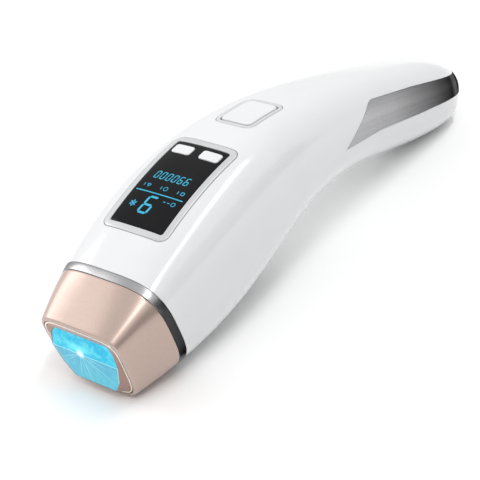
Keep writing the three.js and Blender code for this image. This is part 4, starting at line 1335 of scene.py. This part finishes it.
class REMOVER_OT_inner_parts(bpy.types.Operator):
    """Inner parts: every piece carried over from the frame gets the finish of its slot"""

    bl_idname = "remover.inner_parts"
    bl_label = "Inner parts"

    def execute(self, context):
        slots = {row["node"]: row["material_slot"] for row in frame["record"]["subparts"]}
        for name, piece in frame["nodes"].items():
            if piece.hide_render:
                continue
            piece.data.materials.clear()
            piece.data.materials.append(MATERIALS[slots[name]])
        return {"FINISHED"}


# ---------------------------------------------------------------- finishes and stage


class REMOVER_OT_finishes(bpy.types.Operator):
    """Finishes: one procedural material for each kind of surface"""

    bl_idname = "remover.finishes"
    bl_label = "Finishes"

    def execute(self, context):
        colours = settings()[0]
        white, silver = tuple(colours.white), tuple(colours.silver)
        off_white = tuple(c * 0.975 for c in white)
        moulded_plastic("gloss_white", white, 0.16, off_white, 0.02, Coat_Weight=0.5, Coat_Roughness=0.06)
        moulded_plastic("key_white", white, 0.28, off_white, 0.012, Coat_Weight=0.2)
        rim, worn_rim = (tuple(c * share for c in white) for share in (0.82, 0.79))
        moulded_plastic("rim_white", rim, 0.24, worn_rim, 0.012, Coat_Weight=0.3)
        moulded_plastic("bezel_silver", (0.6, 0.61, 0.615), 0.3, (0.56, 0.57, 0.575), 0.012, Metallic=0.3)
        moulded_plastic("panel_black", (0.007, 0.007, 0.008), 0.12, (0.01, 0.01, 0.011), 0.008, 0.05,
                        Specular_IOR_Level=0.12)
        moulded_plastic("black_plastic", (0.02, 0.02, 0.022), 0.42, (0.03, 0.03, 0.032), 0.03)
        moulded_plastic("grey_plastic", (0.2, 0.21, 0.22), 0.5, (0.24, 0.25, 0.26), 0.03)
        moulded_plastic("sleeve_blue", (0.01, 0.02, 0.06), 0.3, (0.02, 0.03, 0.08), 0.02)
        moulded_plastic("tape_yellow", (0.55, 0.36, 0.05), 0.45, (0.6, 0.42, 0.09), 0.03)
        metallic_paint("rose_gold", tuple(colours.rose), (0.58, 0.465, 0.405), 0.3, 0.6)
        # Light cream bead: a painted highlight along the outer edge of the window frame.
        metallic_paint("bead_painted_highlight", (0.85, 0.76, 0.66), (0.95, 0.88, 0.8), 0.22, 0.5)
        metallic_paint("rose_gold_dark", tuple(colours.rose_dark), (0.45, 0.3, 0.26), 0.28, 0.7)
        dull = tuple(c * 0.8 for c in silver)
        # Painted shade and painted dark reflection on the ring: its silver goes darker towards its sides
        # across y, near black on the side faces.
        painted_side_shade = ("Y", ((0.0, 0.9), (9.0, 0.72), (14.0, 0.78), (18.2, 0.7), (19.4, 0.1), (25.0, 0.08)))
        brushed_metal("ring_silver", silver, dull, 0.27, (3000.0, 60.0, 60.0), 0.006, painted_side_shade, 13.7)
        # Painted shade and painted dark reflection on the trim: its silver goes darker towards the tail end,
        # with a lighter stripe near the end as a painted highlight.
        painted_end_shade = ("X", ((20.0, 0.8), (42.0, 0.7), (60.0, 0.42), (76.0, 0.2), (84.0, 0.17), (87.5, 0.4),
                           (89.5, 0.36), (91.8, 0.06), (97.0, 0.1)))
        brushed_metal("trim_silver", silver, dull, 0.26, (20.0, 40.0, 3000.0), 0.006, painted_end_shade, -16.0)
        brushed_metal("aluminium", (0.7, 0.71, 0.72), (0.6, 0.61, 0.62), 0.35, (40.0, 2500.0, 2500.0))
        brushed_metal("steel", (0.5, 0.5, 0.51), (0.42, 0.42, 0.43), 0.28, (900.0, 900.0, 900.0), 0.005)
        brushed_metal("gold_plate", (0.75, 0.52, 0.18), (0.66, 0.44, 0.14), 0.22, (900.0, 900.0, 900.0),
                      0.004)
        circuit_board("board_green", (0.01, 0.1, 0.045))
        moulded_plastic("quartz", (0.85, 0.9, 0.93), 0.05, (0.83, 0.88, 0.91), 0.004, 0.03,
                        Transmission_Weight=0.9)
        window_crystal("window_crystal", tuple(colours.glow), 1.0)
        lit_figures("lit_figures", (0.03, 0.5, 0.7), 0.95)
        return {"FINISHED"}


def add_light(name, place_at, target, width, height, power):
    """Soft rectangular light aimed at a point."""
    data = bpy.data.lights.new(name, "AREA")
    data.shape = "RECTANGLE"
    data.size = width
    data.size_y = height
    data.energy = power
    light = bpy.data.objects.new(name, data)
    light.location = place_at
    light.rotation_euler = (Vector(target) - Vector(place_at)).to_track_quat("-Z", "Y").to_euler()
    bpy.context.scene.collection.objects.link(light)


class REMOVER_OT_stage(bpy.types.Operator):
    """Stage: a plain pale floor, a grey card that the camera doesn't see, soft studio light and the camera"""

    bl_idname = "remover.stage"
    bl_label = "Stage, light and camera"

    def execute(self, context):
        stage = settings()[2]
        scene = context.scene
        scene.view_settings.view_transform = "Standard"
        half = FLOOR_HALF
        corners = [(-half, -half, 0), (half, -half, 0), (half, half, 0), (-half, half, 0)]
        floor = bpy.data.meshes.new("floor")
        floor.from_pydata(corners, [], [(0, 1, 2, 3)])
        ground = bpy.data.objects.new("floor", floor)
        scene.collection.objects.link(ground)
        material, tree, shader, vector = bare_material("floor_white", (0.9, 0.9, 0.9), 0.7)
        tone = node(tree, "ShaderNodeTexNoise", Scale=3.0, Detail=2.0)
        tree.links.new(vector, tone.inputs["Vector"])
        pale = mix_colour(tree, tone.outputs[0], (0.95, 0.95, 0.95), (0.97, 0.97, 0.97))
        tree.links.new(pale, shader.inputs["Base Color"])
        floor.materials.append(material)

        world = bpy.data.worlds.new("studio")
        scene.world = world
        world.use_nodes = True
        world.node_tree.nodes["Background"].inputs[0].default_value = (1.0, 1.0, 1.0, 1.0)
        world.node_tree.nodes["Background"].inputs[1].default_value = 0.85 * stage.brightness
        for light in LIGHTS:
            add_light(*light)
        side, y, top = np.array(CARD) / MM
        corners = np.array([[-side, y, 0], [side, y, 0], [side, y, top], [-side, y, top]])
        card = mesh_from("near_card", corners, [np.array([[0, 1, 2, 3]])])
        material = bare_material("card_grey", (0.12, 0.12, 0.12), 0.9)[0]
        card.data.materials.append(material)
        card.visible_camera = False

        camera = bpy.data.cameras.new("camera")
        camera.lens = stage.lens
        camera.sensor_width = 36.0
        camera.clip_start = 0.01
        camera.clip_end = 20.0
        view = bpy.data.objects.new("camera", camera)
        scene.collection.objects.link(view)
        away = Vector((math.sin(stage.azimuth) * math.cos(stage.elevation),
                       -math.cos(stage.azimuth) * math.cos(stage.elevation), math.sin(stage.elevation)))
        turn = away.to_track_quat("Z", "Y").to_matrix()
        turn = turn @ Matrix.Rotation(stage.roll, 3, "Z")
        view.matrix_world = Matrix.Translation(CAMERA_PLACE) @ turn.to_4x4()
        scene.camera = view
        return {"FINISHED"}


# ---------------------------------------------------------------- panel and registration


class REMOVER_PT_panel(bpy.types.Panel):
    """Lists the settings and the operators"""

    bl_label = "Hair remover"
    bl_idname = "REMOVER_PT_panel"
    bl_space_type = "VIEW_3D"
    bl_region_type = "UI"
    bl_category = "Hair remover"

    def draw(self, context):
        for group_of_settings in settings():
            for name in group_of_settings.__annotations__:
                self.layout.prop(group_of_settings, name)
        for operator in OPERATORS:
            self.layout.operator(operator.bl_idname)


OPERATORS = (
    REMOVER_OT_stage,
    REMOVER_OT_finishes,
    REMOVER_OT_upper_shell,
    REMOVER_OT_bottom_cover,
    REMOVER_OT_front_ring,
    REMOVER_OT_tail_trim,
    REMOVER_OT_cover_screws,
    REMOVER_OT_inlet,
    REMOVER_OT_display,
    REMOVER_OT_keys,
    REMOVER_OT_figures,
    REMOVER_OT_flash_button,
    REMOVER_OT_head_shell,
    REMOVER_OT_window_frame,
    REMOVER_OT_window_glass,
    REMOVER_OT_inner_parts,
)
CLASSES = (FinishSettings, DetailSettings, StageSettings, *OPERATORS, REMOVER_PT_panel)


def register():
    """Registers the classes and gives every scene the three groups of settings."""
    for each in CLASSES:
        bpy.utils.register_class(each)
    bpy.types.Scene.remover_finish = PointerProperty(type=FinishSettings)
    bpy.types.Scene.remover_detail = PointerProperty(type=DetailSettings)
    bpy.types.Scene.remover_stage = PointerProperty(type=StageSettings)


def unregister():
    """Takes the settings and the classes away again."""
    for name in ("remover_finish", "remover_detail", "remover_stage"):
        delattr(bpy.types.Scene, name)
    for each in reversed(CLASSES):
        bpy.utils.unregister_class(each)


def main():
    """Registers the add-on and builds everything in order."""
    register()
    for operator in OPERATORS:
        getattr(bpy.ops.remover, operator.bl_idname.split(".")[1])()


if __name__ == "__main__":
    main()
